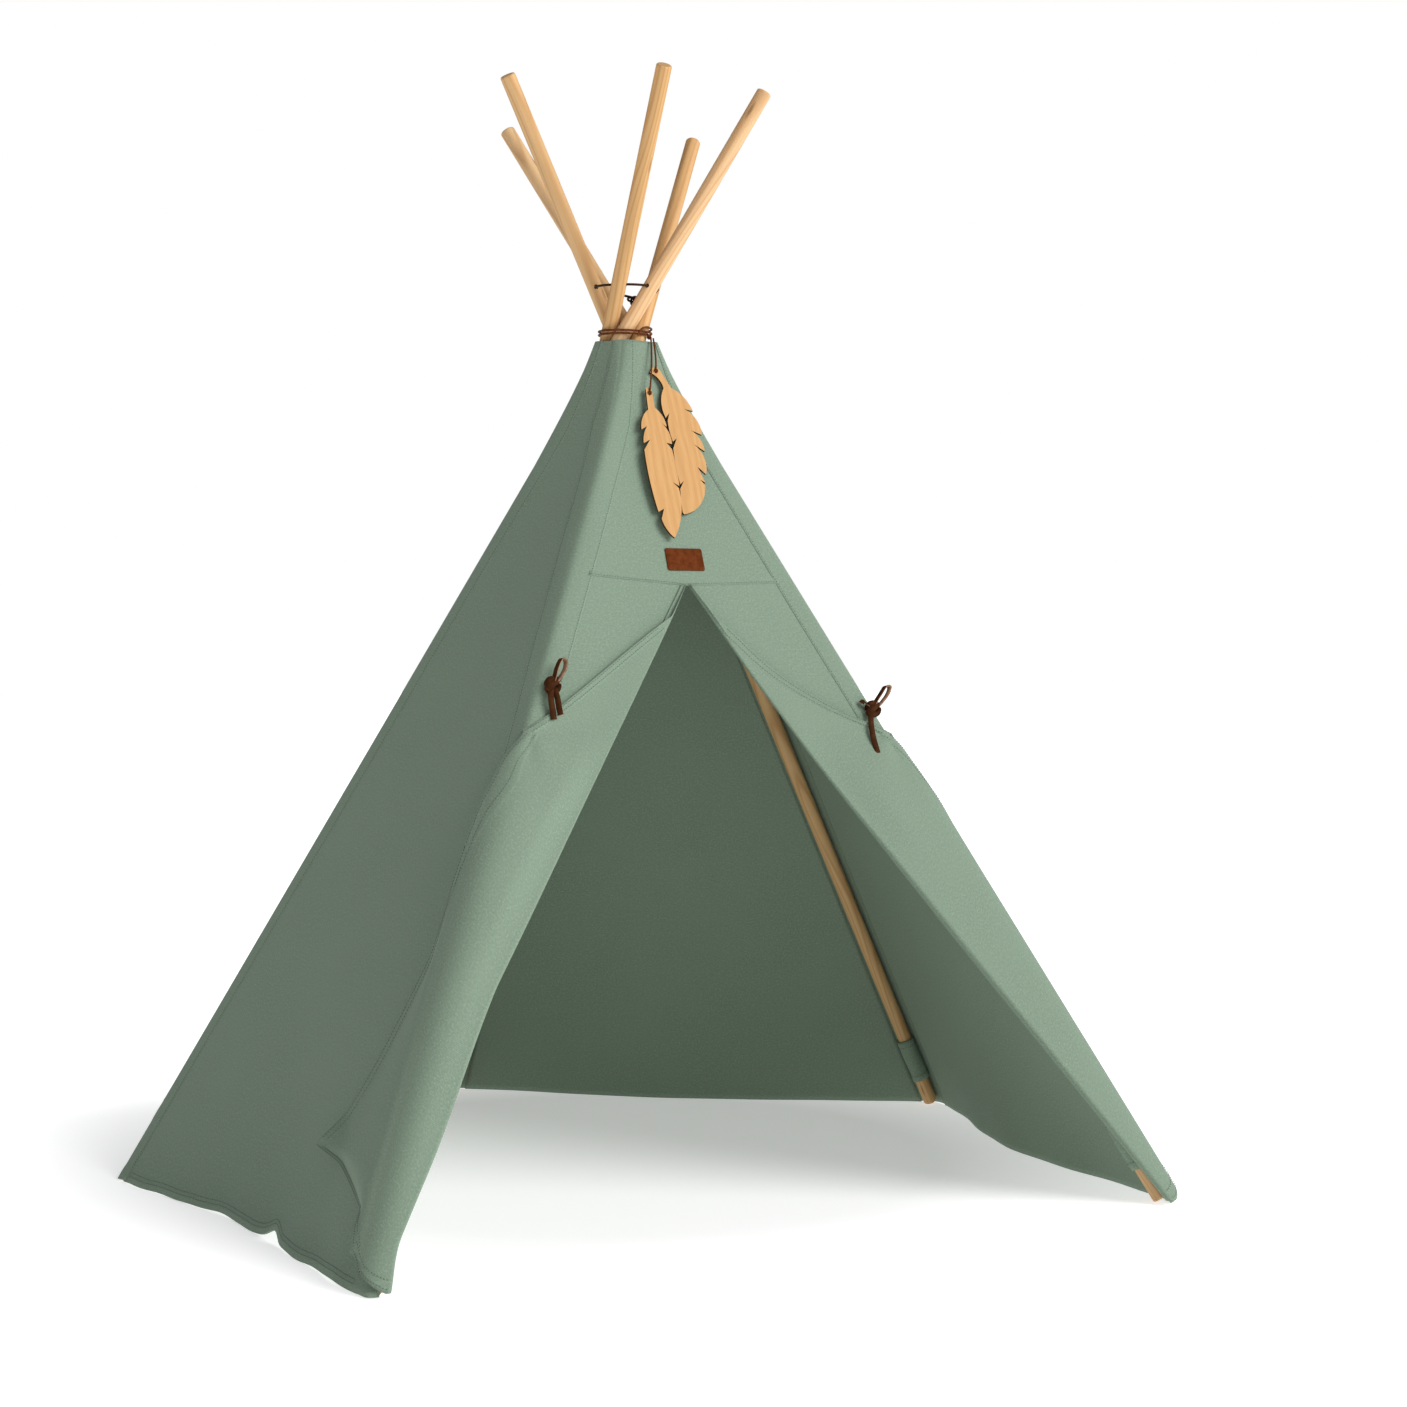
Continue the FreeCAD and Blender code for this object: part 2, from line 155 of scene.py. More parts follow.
# ---- the cover's surface -----------------------------------------------------
# hem: how far the middle of the hem stands in; its place along the wall; belly: the same half way up
WALLS = {
    "front_left": dict(hem=0.0, place=0.5, belly=0.0),
    "front_right": dict(hem=-0.052, place=0.5, belly=-0.006),
    "right": dict(hem=-0.034, place=0.55, belly=-0.010),
    "back": dict(hem=-0.034, place=0.45, belly=-0.010),
    "left": dict(hem=-0.034, place=0.42, belly=-0.006),
}
RIPPLE = {"front_left": 0.0, "front_right": 0.0015, "right": 0.0012, "back": 0.0015, "left": 0.0024}
RIDGE_ROUND = 0.010
FRONT_TOP_BULGE = 0.0105         # the front stands out over the bundle of poles at the top


def ramp(d, k):
    """d above 0 and nothing below it, with the corner rounded over k."""
    return (d + math.sqrt(d * d + k * k)) / 2


def wall_frame(name, z):
    """A wall at a height: its start, its direction, the directions away from its ends, and its width."""
    a, b = ridge(name, z), ridge(next_pole(name), z)
    before, after = ridge(next_pole(name, -1), z), ridge(next_pole(name, 2), z)
    width = (b - a).length
    return a, (b - a) / width, (before - a).normalized(), (after - b).normalized(), width


def wall_shift(name, z, u, p):
    """How far the cloth stands out from the flat wall: hem and belly drawn in, and soft unevenness."""
    if not 0.0 < u < 1.0:
        return 0.0
    shape = WALLS[name]
    place = shape["place"]
    v = 0.5 * u / place if u < place else 0.5 + 0.5 * (u - place) / (1 - place)
    across = math.sin(math.pi * v) ** 2
    low = max(0.0, 1.0 - z / 0.62)
    drawn = shape["hem"] * low * low + shape["belly"] * math.sin(math.pi * min(1.0, z / TOP_HEIGHT))
    edge = smooth(u / 0.12) * smooth((1 - u) / 0.12)
    fade = edge * (1.0 - 0.75 * smooth((z - 0.8) / 0.35))
    rough = 0.0034 * noise.noise(p * 2.6) + 0.0016 * noise.noise(p * 7.0)
    ripple = RIPPLE[name] * math.sin(u * 31.0 + 1.3 * len(name)) * max(0.0, 1.0 - z / 0.16) ** 2
    high = smooth((z - 1.0) / 0.19) if name == "front_left" else 0.0
    return drawn * across + fade * (rough + ripple) + FRONT_TOP_BULGE * math.sin(math.pi * u) ** 0.6 * high


def cover(name, z, d, off=0.0, round_off=RIDGE_ROUND):
    """A point of the cover, d along the wall from a pole's ridge. Below 0 it is on the wall before."""
    a, e, e_before, e_after, width = wall_frame(name, z)
    k = min(round_off, 0.14 * width)
    p = a + e_before * ramp(-d, k) + e * (ramp(d, k) - ramp(d - width, k)) + e_after * ramp(d - width, k)
    normal, n_before = e.cross(UP), -e_before.cross(UP)
    side = smooth(0.5 + d / 0.03)
    facing = (n_before * (1 - side) + normal * side).normalized()
    if d >= 0:
        p = p + normal * wall_shift(name, z, d / width, p)
    else:
        before = next_pole(name, -1)
        length = (ridge(before, z) - a).length
        p = p + n_before * wall_shift(before, z, 1 + d / length, p)
    return p + facing * off


def wall_width(name, z):
    return (ridge(next_pole(name), z) - ridge(name, z)).length


def band_half(name, z):
    """Half the width of the canvas band that runs up a ridge."""
    return min(0.036, 0.30 * min(wall_width(name, z), wall_width(next_pole(name, -1), z)))


# ---- meshes ------------------------------------------------------------------
def new_object(name, verts, faces, material, uvs=None, smooth_faces=True):
    mesh = bpy.data.meshes.new(name)
    mesh.from_pydata([tuple(v) for v in verts], [], faces)
    if uvs is not None:
        layer = mesh.uv_layers.new(name="cloth")
        loops = np.zeros(len(mesh.loops), np.int32)
        mesh.loops.foreach_get("vertex_index", loops)
        layer.data.foreach_set("uv", np.array(uvs, np.float32)[loops].ravel())
    mesh.materials.append(material)
    mesh.polygons.foreach_set("use_smooth", [smooth_faces] * len(mesh.polygons))
    obj = bpy.data.objects.new(name, mesh)
    bpy.context.scene.collection.objects.link(obj)
    return obj


def grid_normals(g):
    du = np.gradient(g, axis=1)
    dv = np.gradient(g, axis=0)
    n = np.cross(du, dv)
    return n / np.maximum(np.linalg.norm(n, axis=2, keepdims=True), 1e-12)


def metric_uv(g):
    """Texture coordinates in metres: along the middle row, and down the middle column."""
    rows, cols = g.shape[:2]
    across = np.linalg.norm(np.diff(g, axis=1), axis=2)
    down = np.linalg.norm(np.diff(g, axis=0), axis=2)
    u = np.concatenate([np.zeros((rows, 1)), np.cumsum(across, axis=1)], axis=1)
    u = u - u[:, cols // 2: cols // 2 + 1]
    v = np.concatenate([np.zeros((1, cols)), np.cumsum(down, axis=0)], axis=0)
    return np.stack([u, v], axis=2)


class Cloth:
    """A sheet with both faces and its edges, from a grid of points. Its rows run down, its columns across."""

    def __init__(self, name, point, cols, rows, material, thickness=CLOTH, hem=None):
        us, vs = np.linspace(0, 1, cols), np.linspace(0, 1, rows)
        g = np.array([[list(point(u, v)) for u in us] for v in vs])
        n = grid_normals(g)
        centre = np.array([HUB.x, HUB.y, 0.5])
        if ((g - centre) * n)[:, :, :2].sum() < 0:
            n = -n
        self.g, self.us, self.vs = g, us, vs
        thick = np.full((rows, cols, 1), thickness / 2)
        if hem is not None:
            thick = thick + np.array([[[hem(u, v)] for u in us] for v in vs])
        outer, inner = g + n * thick, g - n * thick
        verts = np.concatenate([outer.reshape(-1, 3), inner.reshape(-1, 3)])
        uv = metric_uv(g).reshape(-1, 2)
        uvs = np.concatenate([uv, uv])
        size = rows * cols
        faces = []
        probe = np.cross(g[0, 1] - g[0, 0], g[1, 0] - g[0, 0])
        flip = probe @ n[0, 0] > 0
        for r in range(rows - 1):
            for c in range(cols - 1):
                i = r * cols + c
                quad = (i, i + 1, i + cols + 1, i + cols)
                faces.append(quad if flip else quad[::-1])
                back = tuple(k + size for k in quad)
                faces.append(back[::-1] if flip else back)
        rim = list(range(cols)) + [r * cols + cols - 1 for r in range(1, rows)]
        rim += [(rows - 1) * cols + c for c in range(cols - 2, -1, -1)]
        rim += [r * cols for r in range(rows - 2, 0, -1)]
        for a, b in zip(rim, rim[1:] + rim[:1]):
            quad = (a, a + size, b + size, b)
            faces.append(quad if flip else quad[::-1])
        self.obj = new_object(name, verts, faces, material, uvs)
        broad = 2 * (rows - 1) * (cols - 1)
        self.obj.data.polygons.foreach_set("use_smooth", [k < broad for k in range(len(faces))])

    def blend(self, a, b, weight):
        """Bakes the cloth's placement into its mesh and returns it. The bodies a and b are not used, nor the
        weights that weight(u, v) gives.
        """
        bend(self.obj, a, b, [weight(u, v) for v in self.vs for u in self.us] * 2)
        return self.obj


def bend(obj, a, b, weights):
    """Bakes a piece's placement into its mesh. The two bodies and the weights are not used."""
    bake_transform(obj)


STITCH_SAMPLES = 240
# faces of one stitch: its ends are points 0 and 1, its sides 2 and 3, its top 4 and its underside 5
BEAD = [(0, 2, 4), (2, 1, 4), (1, 3, 4), (3, 0, 4), (2, 0, 5), (1, 2, 5), (3, 1, 5), (0, 3, 5)]


def rows_of(line, places):
    """The same line of thread at several places."""
    return [lambda share, place=place: line(share, place) for place in places]


def stitches(name, lines, material, step=0.0042, long=0.0029, wide=0.0009, high=0.0006):
    """Thread along lines. Each line is a function of 0..1 giving (point, outward normal, blend weight)."""
    verts, faces, weights = [], [], []
    for line in lines:
        samples = [line(i / STITCH_SAMPLES) for i in range(STITCH_SAMPLES + 1)]
        pts = [s[0] for s in samples]
        run = [0.0]
        for p, q in zip(pts, pts[1:]):
            run.append(run[-1] + (q - p).length)
        count = int(run[-1] / step)
        j = 0
        for i in range(count):
            at = (i + 0.5) * step
            while run[j + 1] < at:
                j += 1
            t = (at - run[j]) / max(1e-9, run[j + 1] - run[j])
            p = pts[j].lerp(pts[j + 1], t)
            n = samples[j][1]
            along = (pts[j + 1] - pts[j]).normalized()
            across = along.cross(n).normalized()
            base = len(verts)
            for half in (along * long / 2, across * wide / 2):
                verts += [p - half, p + half]
            verts += [p + n * high, p - n * high]
            faces += [tuple(base + k for k in corners) for corners in BEAD]
            weights += [samples[j][2]] * 6
    return new_object(name, verts, faces, material, smooth_faces=False), weights


# ---- materials ---------------------------------------------------------------
def material(name):
    """A new material, its node tree and its shader."""
    m = bpy.data.materials.new(name)
    m.use_nodes = True
    tree = m.node_tree
    return m, tree, tree.nodes["Principled BSDF"]


def node(tree, kind, **values):
    """A shader node. Each value goes to the socket of that name, or else to the property."""
    n = tree.nodes.new(kind)
    for key, value in values.items():
        if key in n.inputs:
            n.inputs[key].default_value = value
        else:
            setattr(n, key, value)
    return n


def shade(colour, share):
    """The colour made darker or lighter."""
    return [c * share for c in colour]


def mix_colour(tree, factor, a, b):
    n = node(tree, "ShaderNodeMix", data_type="RGBA")
    sockets = {"factor": n.inputs[0], "a": n.inputs[6], "b": n.inputs[7]}
    for key, value in (("factor", factor), ("a", a), ("b", b)):
        if isinstance(value, bpy.types.NodeSocket):
            tree.links.new(value, sockets[key])
        elif key == "factor":
            sockets[key].default_value = value
        else:
            sockets[key].default_value = (*value, 1.0)
    return n.outputs[2]


def maths(tree, operation, a, b=0.0):
    n = node(tree, "ShaderNodeMath", operation=operation)
    for i, value in enumerate((a, b)):
        if isinstance(value, bpy.types.NodeSocket):
            tree.links.new(value, n.inputs[i])
        else:
            n.inputs[i].default_value = value
    return n.outputs[0]


def ranged(tree, value, low, high, to_low=0.0, to_high=1.0):
    n = node(tree, "ShaderNodeMapRange")
    tree.links.new(value, n.inputs[0])
    for i, x in enumerate((low, high, to_low, to_high)):
        n.inputs[i + 1].default_value = x
    return n.outputs[0]


def placed(tree, source, scale=(1, 1, 1), turn=(0, 0, 0), shift=(0, 0, 0)):
    n = node(tree, "ShaderNodeMapping", Scale=scale, Rotation=turn, Location=shift)
    tree.links.new(source, n.inputs["Vector"])
    return n.outputs["Vector"]


def noise_of(tree, source, scale, detail=3.0, roughness=0.55):
    n = node(tree, "ShaderNodeTexNoise", Scale=scale, Detail=detail, Roughness=roughness)
    tree.links.new(source, n.inputs["Vector"])
    return n.outputs[0]


def wave_of(tree, source, scale, direction="X", distortion=0.0, detail=2.0, kind="BANDS"):
    n = node(tree, "ShaderNodeTexWave", Scale=scale, Distortion=distortion, Detail=detail)
    n.wave_type = kind
    if kind == "BANDS":
        n.bands_direction = direction
    else:
        n.rings_direction = direction
    tree.links.new(source, n.inputs["Vector"])
    return n.outputs["Fac"]


def bumped(tree, shader, height, strength, distance):
    n = node(tree, "ShaderNodeBump", Strength=strength, Distance=distance)
    tree.links.new(height, n.inputs["Height"])
    tree.links.new(n.outputs["Normal"], shader.inputs["Normal"])


CANVAS = (0.205, 0.278, 0.205)


def canvas(name):
    """Fine cotton twill: slanted ribs crossed by threads, with slubs, faint mottling and a soft nap."""
    m, tree, shader = material(name)
    uv = node(tree, "ShaderNodeUVMap", uv_map="cloth").outputs[0]
    rib = wave_of(tree, placed(tree, uv, turn=(0, 0, math.radians(27))), 210.0, "X", 0.6, 1.0)
    weft = wave_of(tree, uv, 290.0, "Y", 1.0, 1.0)
    slub = noise_of(tree, placed(tree, uv, scale=(60, 900, 1)), 1.0, 2.0)
    grain = noise_of(tree, uv, 1400.0, 2.0)
    mottle = noise_of(tree, uv, 7.0, 4.0)
    weave = maths(tree, "ADD", maths(tree, "MULTIPLY", rib, 0.55), maths(tree, "MULTIPLY", weft, 0.25))
    weave = maths(tree, "ADD", weave, maths(tree, "MULTIPLY", grain, 0.5))
    nap = noise_of(tree, uv, 360.0, 2.0, 0.7)
    colour = mix_colour(tree, ranged(tree, weave, 0.25, 1.05), shade(CANVAS, 0.78), shade(CANVAS, 1.16))
    colour = mix_colour(tree, ranged(tree, nap, 0.30, 0.70), shade(CANVAS, 0.72), colour)
    for source, low, high, most, tone in [(nap, 0.50, 0.78, 0.6, 1.36), (slub, 0.58, 0.75, 0.35, 1.22),
                                          (mottle, 0.3, 0.7, 0.5, 0.93)]:
        colour = mix_colour(tree, ranged(tree, source, low, high, 0.0, most), colour, shade(CANVAS, tone))
    tree.links.new(colour, shader.inputs["Base Color"])
    tree.links.new(ranged(tree, weave, 0.2, 1.1, 0.95, 0.82), shader.inputs["Roughness"])
    shader.inputs["Sheen Weight"].default_value = 0.12
    shader.inputs["Sheen Roughness"].default_value = 0.6
    shader.inputs["Sheen Tint"].default_value = (0.75, 0.85, 0.75, 1)
    shader.inputs["Specular IOR Level"].default_value = 0.25
    bumped(tree, shader, weave, 0.35, 0.0006)
    return m


def thread(name, colour):
    """Twisted sewing thread."""
    m, tree, shader = material(name)
    where = node(tree, "ShaderNodeTexCoord").outputs["Object"]
    ply = noise_of(tree, where, 900.0, 2.0)
    tone = mix_colour(tree, ply, shade(colour, 0.75), shade(colour, 1.2))
    tree.links.new(tone, shader.inputs["Base Color"])
    shader.inputs["Roughness"].default_value = 0.7
    bumped(tree, shader, ply, 0.4, 0.0003)
    return m


def in_axes(tree, source, axes, origin=(0, 0, 0)):
    """Coordinates measured along three directions from an origin."""
    moved = node(tree, "ShaderNodeVectorMath", operation="SUBTRACT")
    tree.links.new(source, moved.inputs[0])
    moved.inputs[1].default_value = origin
    out = node(tree, "ShaderNodeCombineXYZ")
    for i, axis in enumerate(axes):
        dot = node(tree, "ShaderNodeVectorMath", operation="DOT_PRODUCT")
        dot.inputs[1].default_value = axis
        tree.links.new(moved.outputs[0], dot.inputs[0])
        tree.links.new(dot.outputs["Value"], out.inputs[i])
    return out.outputs[0]


def pine(name, pole, light, dark, seed):
    """Turned pine: growth rings cut lengthwise, fine pores, a few pin knots, and end grain on the ends."""
    m, tree, shader = material(name)
    coords = node(tree, "ShaderNodeTexCoord")
    along = pole_direction(pole)
    flat = level(40.0 * seed)
    flat = (flat - along * flat.dot(along)).normalized()
    where = in_axes(tree, coords.outputs["Object"], (flat, along.cross(flat), along), waist(pole))
    apart = placed(tree, where, shift=(0.031 * seed, 0.017 * seed, 1.9 * seed))
    sway = noise_of(tree, placed(tree, apart, scale=(14, 14, 2.2)), 1.0, 1.0)
    split = node(tree, "ShaderNodeSeparateXYZ")
    tree.links.new(apart, split.inputs[0])
    depth = maths(tree, "ADD", split.outputs[0], maths(tree, "MULTIPLY", sway, 0.060))
    rings = maths(tree, "SINE", maths(tree, "MULTIPLY", depth, 900.0))
    rings = ranged(tree, rings, -1.0, 1.0)
    late = maths(tree, "POWER", rings, 3.0)
    fibre = noise_of(tree, placed(tree, apart, scale=(420, 420, 6)), 1.0, 1.5)
    broad = noise_of(tree, placed(tree, apart, scale=(60, 60, 3)), 1.0, 2.0)
    colour = mix_colour(tree, broad, shade(light, 0.93), shade(light, 1.06))
    colour = mix_colour(tree, maths(tree, "MULTIPLY", late, 0.55), colour, dark)
    colour = mix_colour(tree, ranged(tree, fibre, 0.45, 0.8, 0.0, 0.45), colour, shade(light, 0.72))
    pins = node(tree, "ShaderNodeTexVoronoi", Scale=1.0, Randomness=1.0)
    tree.links.new(placed(tree, apart, scale=(38, 38, 7.5)), pins.inputs["Vector"])
    pin = ranged(tree, pins.outputs["Distance"], 0.05, 0.13, 0.7, 0.0)
    colour = mix_colour(tree, pin, colour, shade(dark, 0.45))
    facing = node(tree, "ShaderNodeVectorMath", operation="DOT_PRODUCT")
    facing.inputs[1].default_value = along
    tree.links.new(coords.outputs["Normal"], facing.inputs[0])
    ends = ranged(tree, maths(tree, "ABSOLUTE", facing.outputs["Value"]), 0.75, 0.95)
    arcs = wave_of(tree, placed(tree, where, shift=(0.014, 0.006, 0)), 130.0, "Z", 1.5, 1.0, "RINGS")
    cut = mix_colour(tree, arcs, shade(light, 0.92), shade(light, 0.62))
    colour = mix_colour(tree, ends, colour, cut)
    tree.links.new(colour, shader.inputs["Base Color"])
    tree.links.new(ranged(tree, fibre, 0.2, 0.8, 0.50, 0.68), shader.inputs["Roughness"])
    shader.inputs["Specular IOR Level"].default_value = 0.22
    height = maths(tree, "ADD", maths(tree, "MULTIPLY", late, 0.5), fibre)
    bumped(tree, shader, height, 0.25, 0.0005)
    return m


def plywood(name, axes):
    """Birch ply cut by laser: pale straight grain on the faces, scorched brown edges."""
    m, tree, shader = material(name)
    coords = node(tree, "ShaderNodeTexCoord")
    right, down, out = axes
    where = in_axes(tree, coords.outputs["Object"], (right, down, out))
    sway = noise_of(tree, placed(tree, where, scale=(26, 5, 26)), 1.0, 2.0)
    fibre = noise_of(tree, placed(tree, where, scale=(950, 28, 950)), 1.0, 3.0)
    split = node(tree, "ShaderNodeSeparateXYZ")
    tree.links.new(where, split.inputs[0])
    depth = maths(tree, "ADD", split.outputs[0], maths(tree, "MULTIPLY", sway, 0.045))
    rings = ranged(tree, maths(tree, "SINE", maths(tree, "MULTIPLY", depth, 480.0)), -1.0, 1.0)
    light, warm, scorched = (0.55, 0.305, 0.115), (0.47, 0.240, 0.080), (0.045, 0.018, 0.007)
    colour = mix_colour(tree, maths(tree, "MULTIPLY", rings, 0.6), light, warm)
    colour = mix_colour(tree, ranged(tree, fibre, 0.5, 0.8, 0.0, 0.55), colour, shade(light, 0.62))
    facing = node(tree, "ShaderNodeVectorMath", operation="DOT_PRODUCT")
    facing.inputs[1].default_value = out
    tree.links.new(coords.outputs["Normal"], facing.inputs[0])
    side = ranged(tree, maths(tree, "ABSOLUTE", facing.outputs["Value"]), 0.35, 0.75, 1.0, 0.0)
    colour = mix_colour(tree, side, colour, scorched)
    tree.links.new(colour, shader.inputs["Base Color"])
    shader.inputs["Roughness"].default_value = 0.6
    shader.inputs["Specular IOR Level"].default_value = 0.2
    bumped(tree, shader, maths(tree, "ADD", fibre, rings), 0.2, 0.0003)
    return m


def leather(name, colour, roughness):
    """Grained leather, rubbed paler on high spots."""
    m, tree, shader = material(name)
    where = node(tree, "ShaderNodeTexCoord").outputs["Object"]
    pebble = node(tree, "ShaderNodeTexVoronoi", Scale=900.0)
    tree.links.new(where, pebble.inputs["Vector"])
    wear = noise_of(tree, where, 120.0, 4.0)
    tone = mix_colour(tree, ranged(tree, wear, 0.35, 0.7), shade(colour, 0.72), shade(colour, 1.25))
    gaps = ranged(tree, pebble.outputs["Distance"], 0.3, 0.8, 0.0, 0.5)
    tone = mix_colour(tree, gaps, tone, shade(colour, 0.55))
    tree.links.new(tone, shader.inputs["Base Color"])
    rubbed = ranged(tree, wear, 0.3, 0.7, roughness + 0.12, roughness - 0.08)
    tree.links.new(rubbed, shader.inputs["Roughness"])
    shader.inputs["Specular IOR Level"].default_value = 0.06
    height = maths(tree, "SUBTRACT", 1.0, pebble.outputs["Distance"])
    bumped(tree, shader, maths(tree, "ADD", height, wear), 0.35, 0.0005)
    return m


def waxed_cord(name, colour):
    """A round braided cord with a waxed finish."""
    m, tree, shader = material(name)
    where = node(tree, "ShaderNodeTexCoord").outputs["Object"]
    strand = wave_of(tree, where, 150.0, "DIAGONAL", 1.5, 2.0)
    fuzz = noise_of(tree, where, 1500.0, 2.0)
    tone = mix_colour(tree, strand, shade(colour, 0.6), shade(colour, 1.25))
    tree.links.new(tone, shader.inputs["Base Color"])
    shader.inputs["Roughness"].default_value = 0.6
    shader.inputs["Specular IOR Level"].default_value = 0.12
    bumped(tree, shader, maths(tree, "ADD", strand, maths(tree, "MULTIPLY", fuzz, 0.4)), 0.5, 0.0006)
    return m


COVER = canvas("sage_canvas")
THREAD = thread("green_thread", (0.040, 0.060, 0.042))
TIE_SKIN = leather("tie_leather", (0.058, 0.019, 0.005), 0.6)
TIE_FLESH = leather("tie_leather_flesh", (0.34, 0.20, 0.125), 0.8)
LABEL_SKIN = leather("label_leather", (0.130, 0.030, 0.005), 0.7)
LABEL_EDGE = leather("label_edge", (0.045, 0.018, 0.008), 0.6)
RUST_CORD = waxed_cord("rust_cord", (0.120, 0.030, 0.008))
DARK_CORD = waxed_cord("dark_cord", (0.032, 0.015, 0.008))


def sew(name, lines, *bodies, skin=THREAD, slot="canvas", **size):
    """Stitches that ride one body; given two bodies, they are only baked in place."""
    rows, weights = stitches(name, lines, skin, **size)
    if len(bodies) == 2:
        bend(rows, *bodies, weights)
    else:
        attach(rows, *bodies)
    return rows


# ---- poles: light and dark wood ----------------------------------------------
PINE_TONES = {
    "front_left": ((0.60, 0.350, 0.150), (0.38, 0.175, 0.052)),
    "front_right": ((0.60, 0.385, 0.195), (0.40, 0.205, 0.080)),
    "right": ((0.62, 0.385, 0.180), (0.40, 0.195, 0.065)),
    "back": ((0.63, 0.375, 0.160), (0.42, 0.185, 0.052)),
    "left": ((0.71, 0.455, 0.240), (0.49, 0.255, 0.100)),
}
for seed, (name, (light, dark)) in enumerate(PINE_TONES.items()):
    pole = nodes["pole_" + name]
    pole.data.materials.clear()
    pole.data.materials.append(pine("pine_" + name, name, light, dark, seed + 1))


# ---- the cover: bands over the poles, and the walls between ------------------
OVERLAP = 0.007                  # of a wall under the bands beside it
BAND_LIFT = 0.0008
BAND_SEAM = 0.003                # from the band's edge to its thread
BAND_SHORT = 0.0015              # by the doorway, cloth stops this far short of the fold
SEAM_LIFT = 0.0007               # where the yoke lies over the cloth below it
HEM_DEPTH = 0.016
HEM_ROWS = (HEM_DEPTH - 0.003, HEM_DEPTH - 0.008)
HEM_THICK = 0.0007               # added on each face where a hem is turned in
FLOOR_GAP = 0.0004
WALL_SLOPE = math.radians(27)
FRONT_OUT = Vector((0, -0.92, 0.39)).normalized()


def hem_line(name, u):
    """How far the lower edge is off the floor along a wall."""
    if name != "left":
        return FLOOR_GAP
    return 0.0016 + 0.0009 * math.sin(u * 23.0) + 0.0004 * math.sin(u * 57.0) + 0.011 * bump(u, 0.60, 0.030)


def band_reach(pole, z, side):
    """How far the band goes from the ridge: by the doorway it stops at the fold of the flap."""
    half = band_half(pole, z)
    doorway = {"front_left": 1, "front_right": -1}.get(pole, 0)
    if doorway != side or z > YOKE_HEIGHT:
        return half
    return min(half, fold_centre("left" if pole == "front_left" else "right", z) - BAND_SHORT)


def band_low(name, d):
    """Height of the band's lower edge, which follows the hems of the walls beside it."""
    wall = name if d >= 0 else next_pole(name, -1)
    width = wall_width(wall, 0.0)
    return FLOOR_GAP + (hem_line(wall, (d / width) % 1.0) - FLOOR_GAP) * smooth(abs(d) / 0.03)


def hem_swell(height):
    """The hem is the cloth turned in: thicker near the lower edge, with a soft step above it."""
    return HEM_THICK * (1 - smooth((height - HEM_DEPTH) / 0.003))


def between_bands(pole, u, z):
    """How far along its wall a point is that lies u of the way from band to band, and the wall's width."""
    near, far = band_half(pole, z) - OVERLAP, band_half(next_pole(pole), z) - OVERLAP
    width = wall_width(pole, z)
    return near + (width - near - far) * u, width


def make_wall(node_name, pole):
    """A wall from one ridge to the next."""
    def height(u, v):
        return TOP_HEIGHT + (hem_line(pole, u) - TOP_HEIGHT) * (v ** 0.92)

    def point(u, v):
        z = height(u, v)
        d, _ = between_bands(pole, u, z)
        return cover(pole, z, d)

    def weight(u, v):
        d, width = between_bands(pole, u, height(u, v))
        return d / width

    cloth = Cloth(node_name + "_canvas", point, 96, 130, COVER,
                  hem=lambda u, v: hem_swell(height(u, v) - hem_line(pole, u)))
    obj = cloth.blend("pole_" + pole, node_name, weight)
    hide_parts(node_name)

    def hem_row(u, gap):
        z = hem_line(pole, u) + gap
        d, width = between_bands(pole, u, z)
        p, q = cover(pole, z, d), cover(pole, z + NEAR, d)
        n = outward((cover(pole, z, d + NEAR) - p).cross(q - p), p)
        return p + n * (CLOTH / 2 + 0.0008), n, d / width

    rows = sew(node_name + "_hem_stitches", rows_of(hem_row, HEM_ROWS), "pole_" + pole, node_name)
    flat = (wall_width(pole, 0.0), TOP_HEIGHT / math.cos(WALL_SLOPE))
    "pole_" + next_pole(pole)


def make_band(pole):
    """The folded band that covers the seam over a pole, with a line of thread along each edge."""
    def height(v, d):
        return TOP_HEIGHT + 0.001 + (band_low(pole, d) - TOP_HEIGHT) * (v ** 0.95)

    def point(u, v):
        z = TOP_HEIGHT * (1 - v ** 0.95)
        side = 1 if u > 0.5 else -1
        d = (2 * u - 1) * band_reach(pole, z, side)
        return cover(pole, height(v, d), d, off=BAND_LIFT)

    cloth = Cloth("ridge_band_" + pole, point, 37, 170, COVER, thickness=0.0010,
                  hem=lambda u, v: hem_swell(TOP_HEIGHT * (1 - v)))
    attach(cloth.obj, "pole_" + pole)

    def seam(share, side):
        z = TOP_HEIGHT * (1 - share) + 0.004 * share
        d = side * (band_reach(pole, z, side) - BAND_SEAM)
        p = cover(pole, z, d, off=BAND_LIFT)
        along, down = cover(pole, z, d + NEAR, off=BAND_LIFT) - p, cover(pole, z - NEAR, d, off=BAND_LIFT) - p
        n = outward(along.cross(down), p)
        return p + n * 0.0006, n, 0.0

    rows = sew("ridge_band_%s_stitches" % pole, rows_of(seam, (1, -1)), "pole_" + pole)


for node_name, pole in [("panel_right", "front_right"), ("panel_back_right", "right"),
                        ("panel_back_left", "back"), ("panel_left", "left")]:
    make_wall(node_name, pole)


# ---- the front: yoke, door strips and flaps ----------------------------------
def yoke_seam(u):
    """Height of the seam above the doorway, across the front: lowest at the doorway's peak."""
    return YOKE_HEIGHT - 0.001 + (0.013 if u < 0.5 else 0.005) * abs(2 * u - 1)


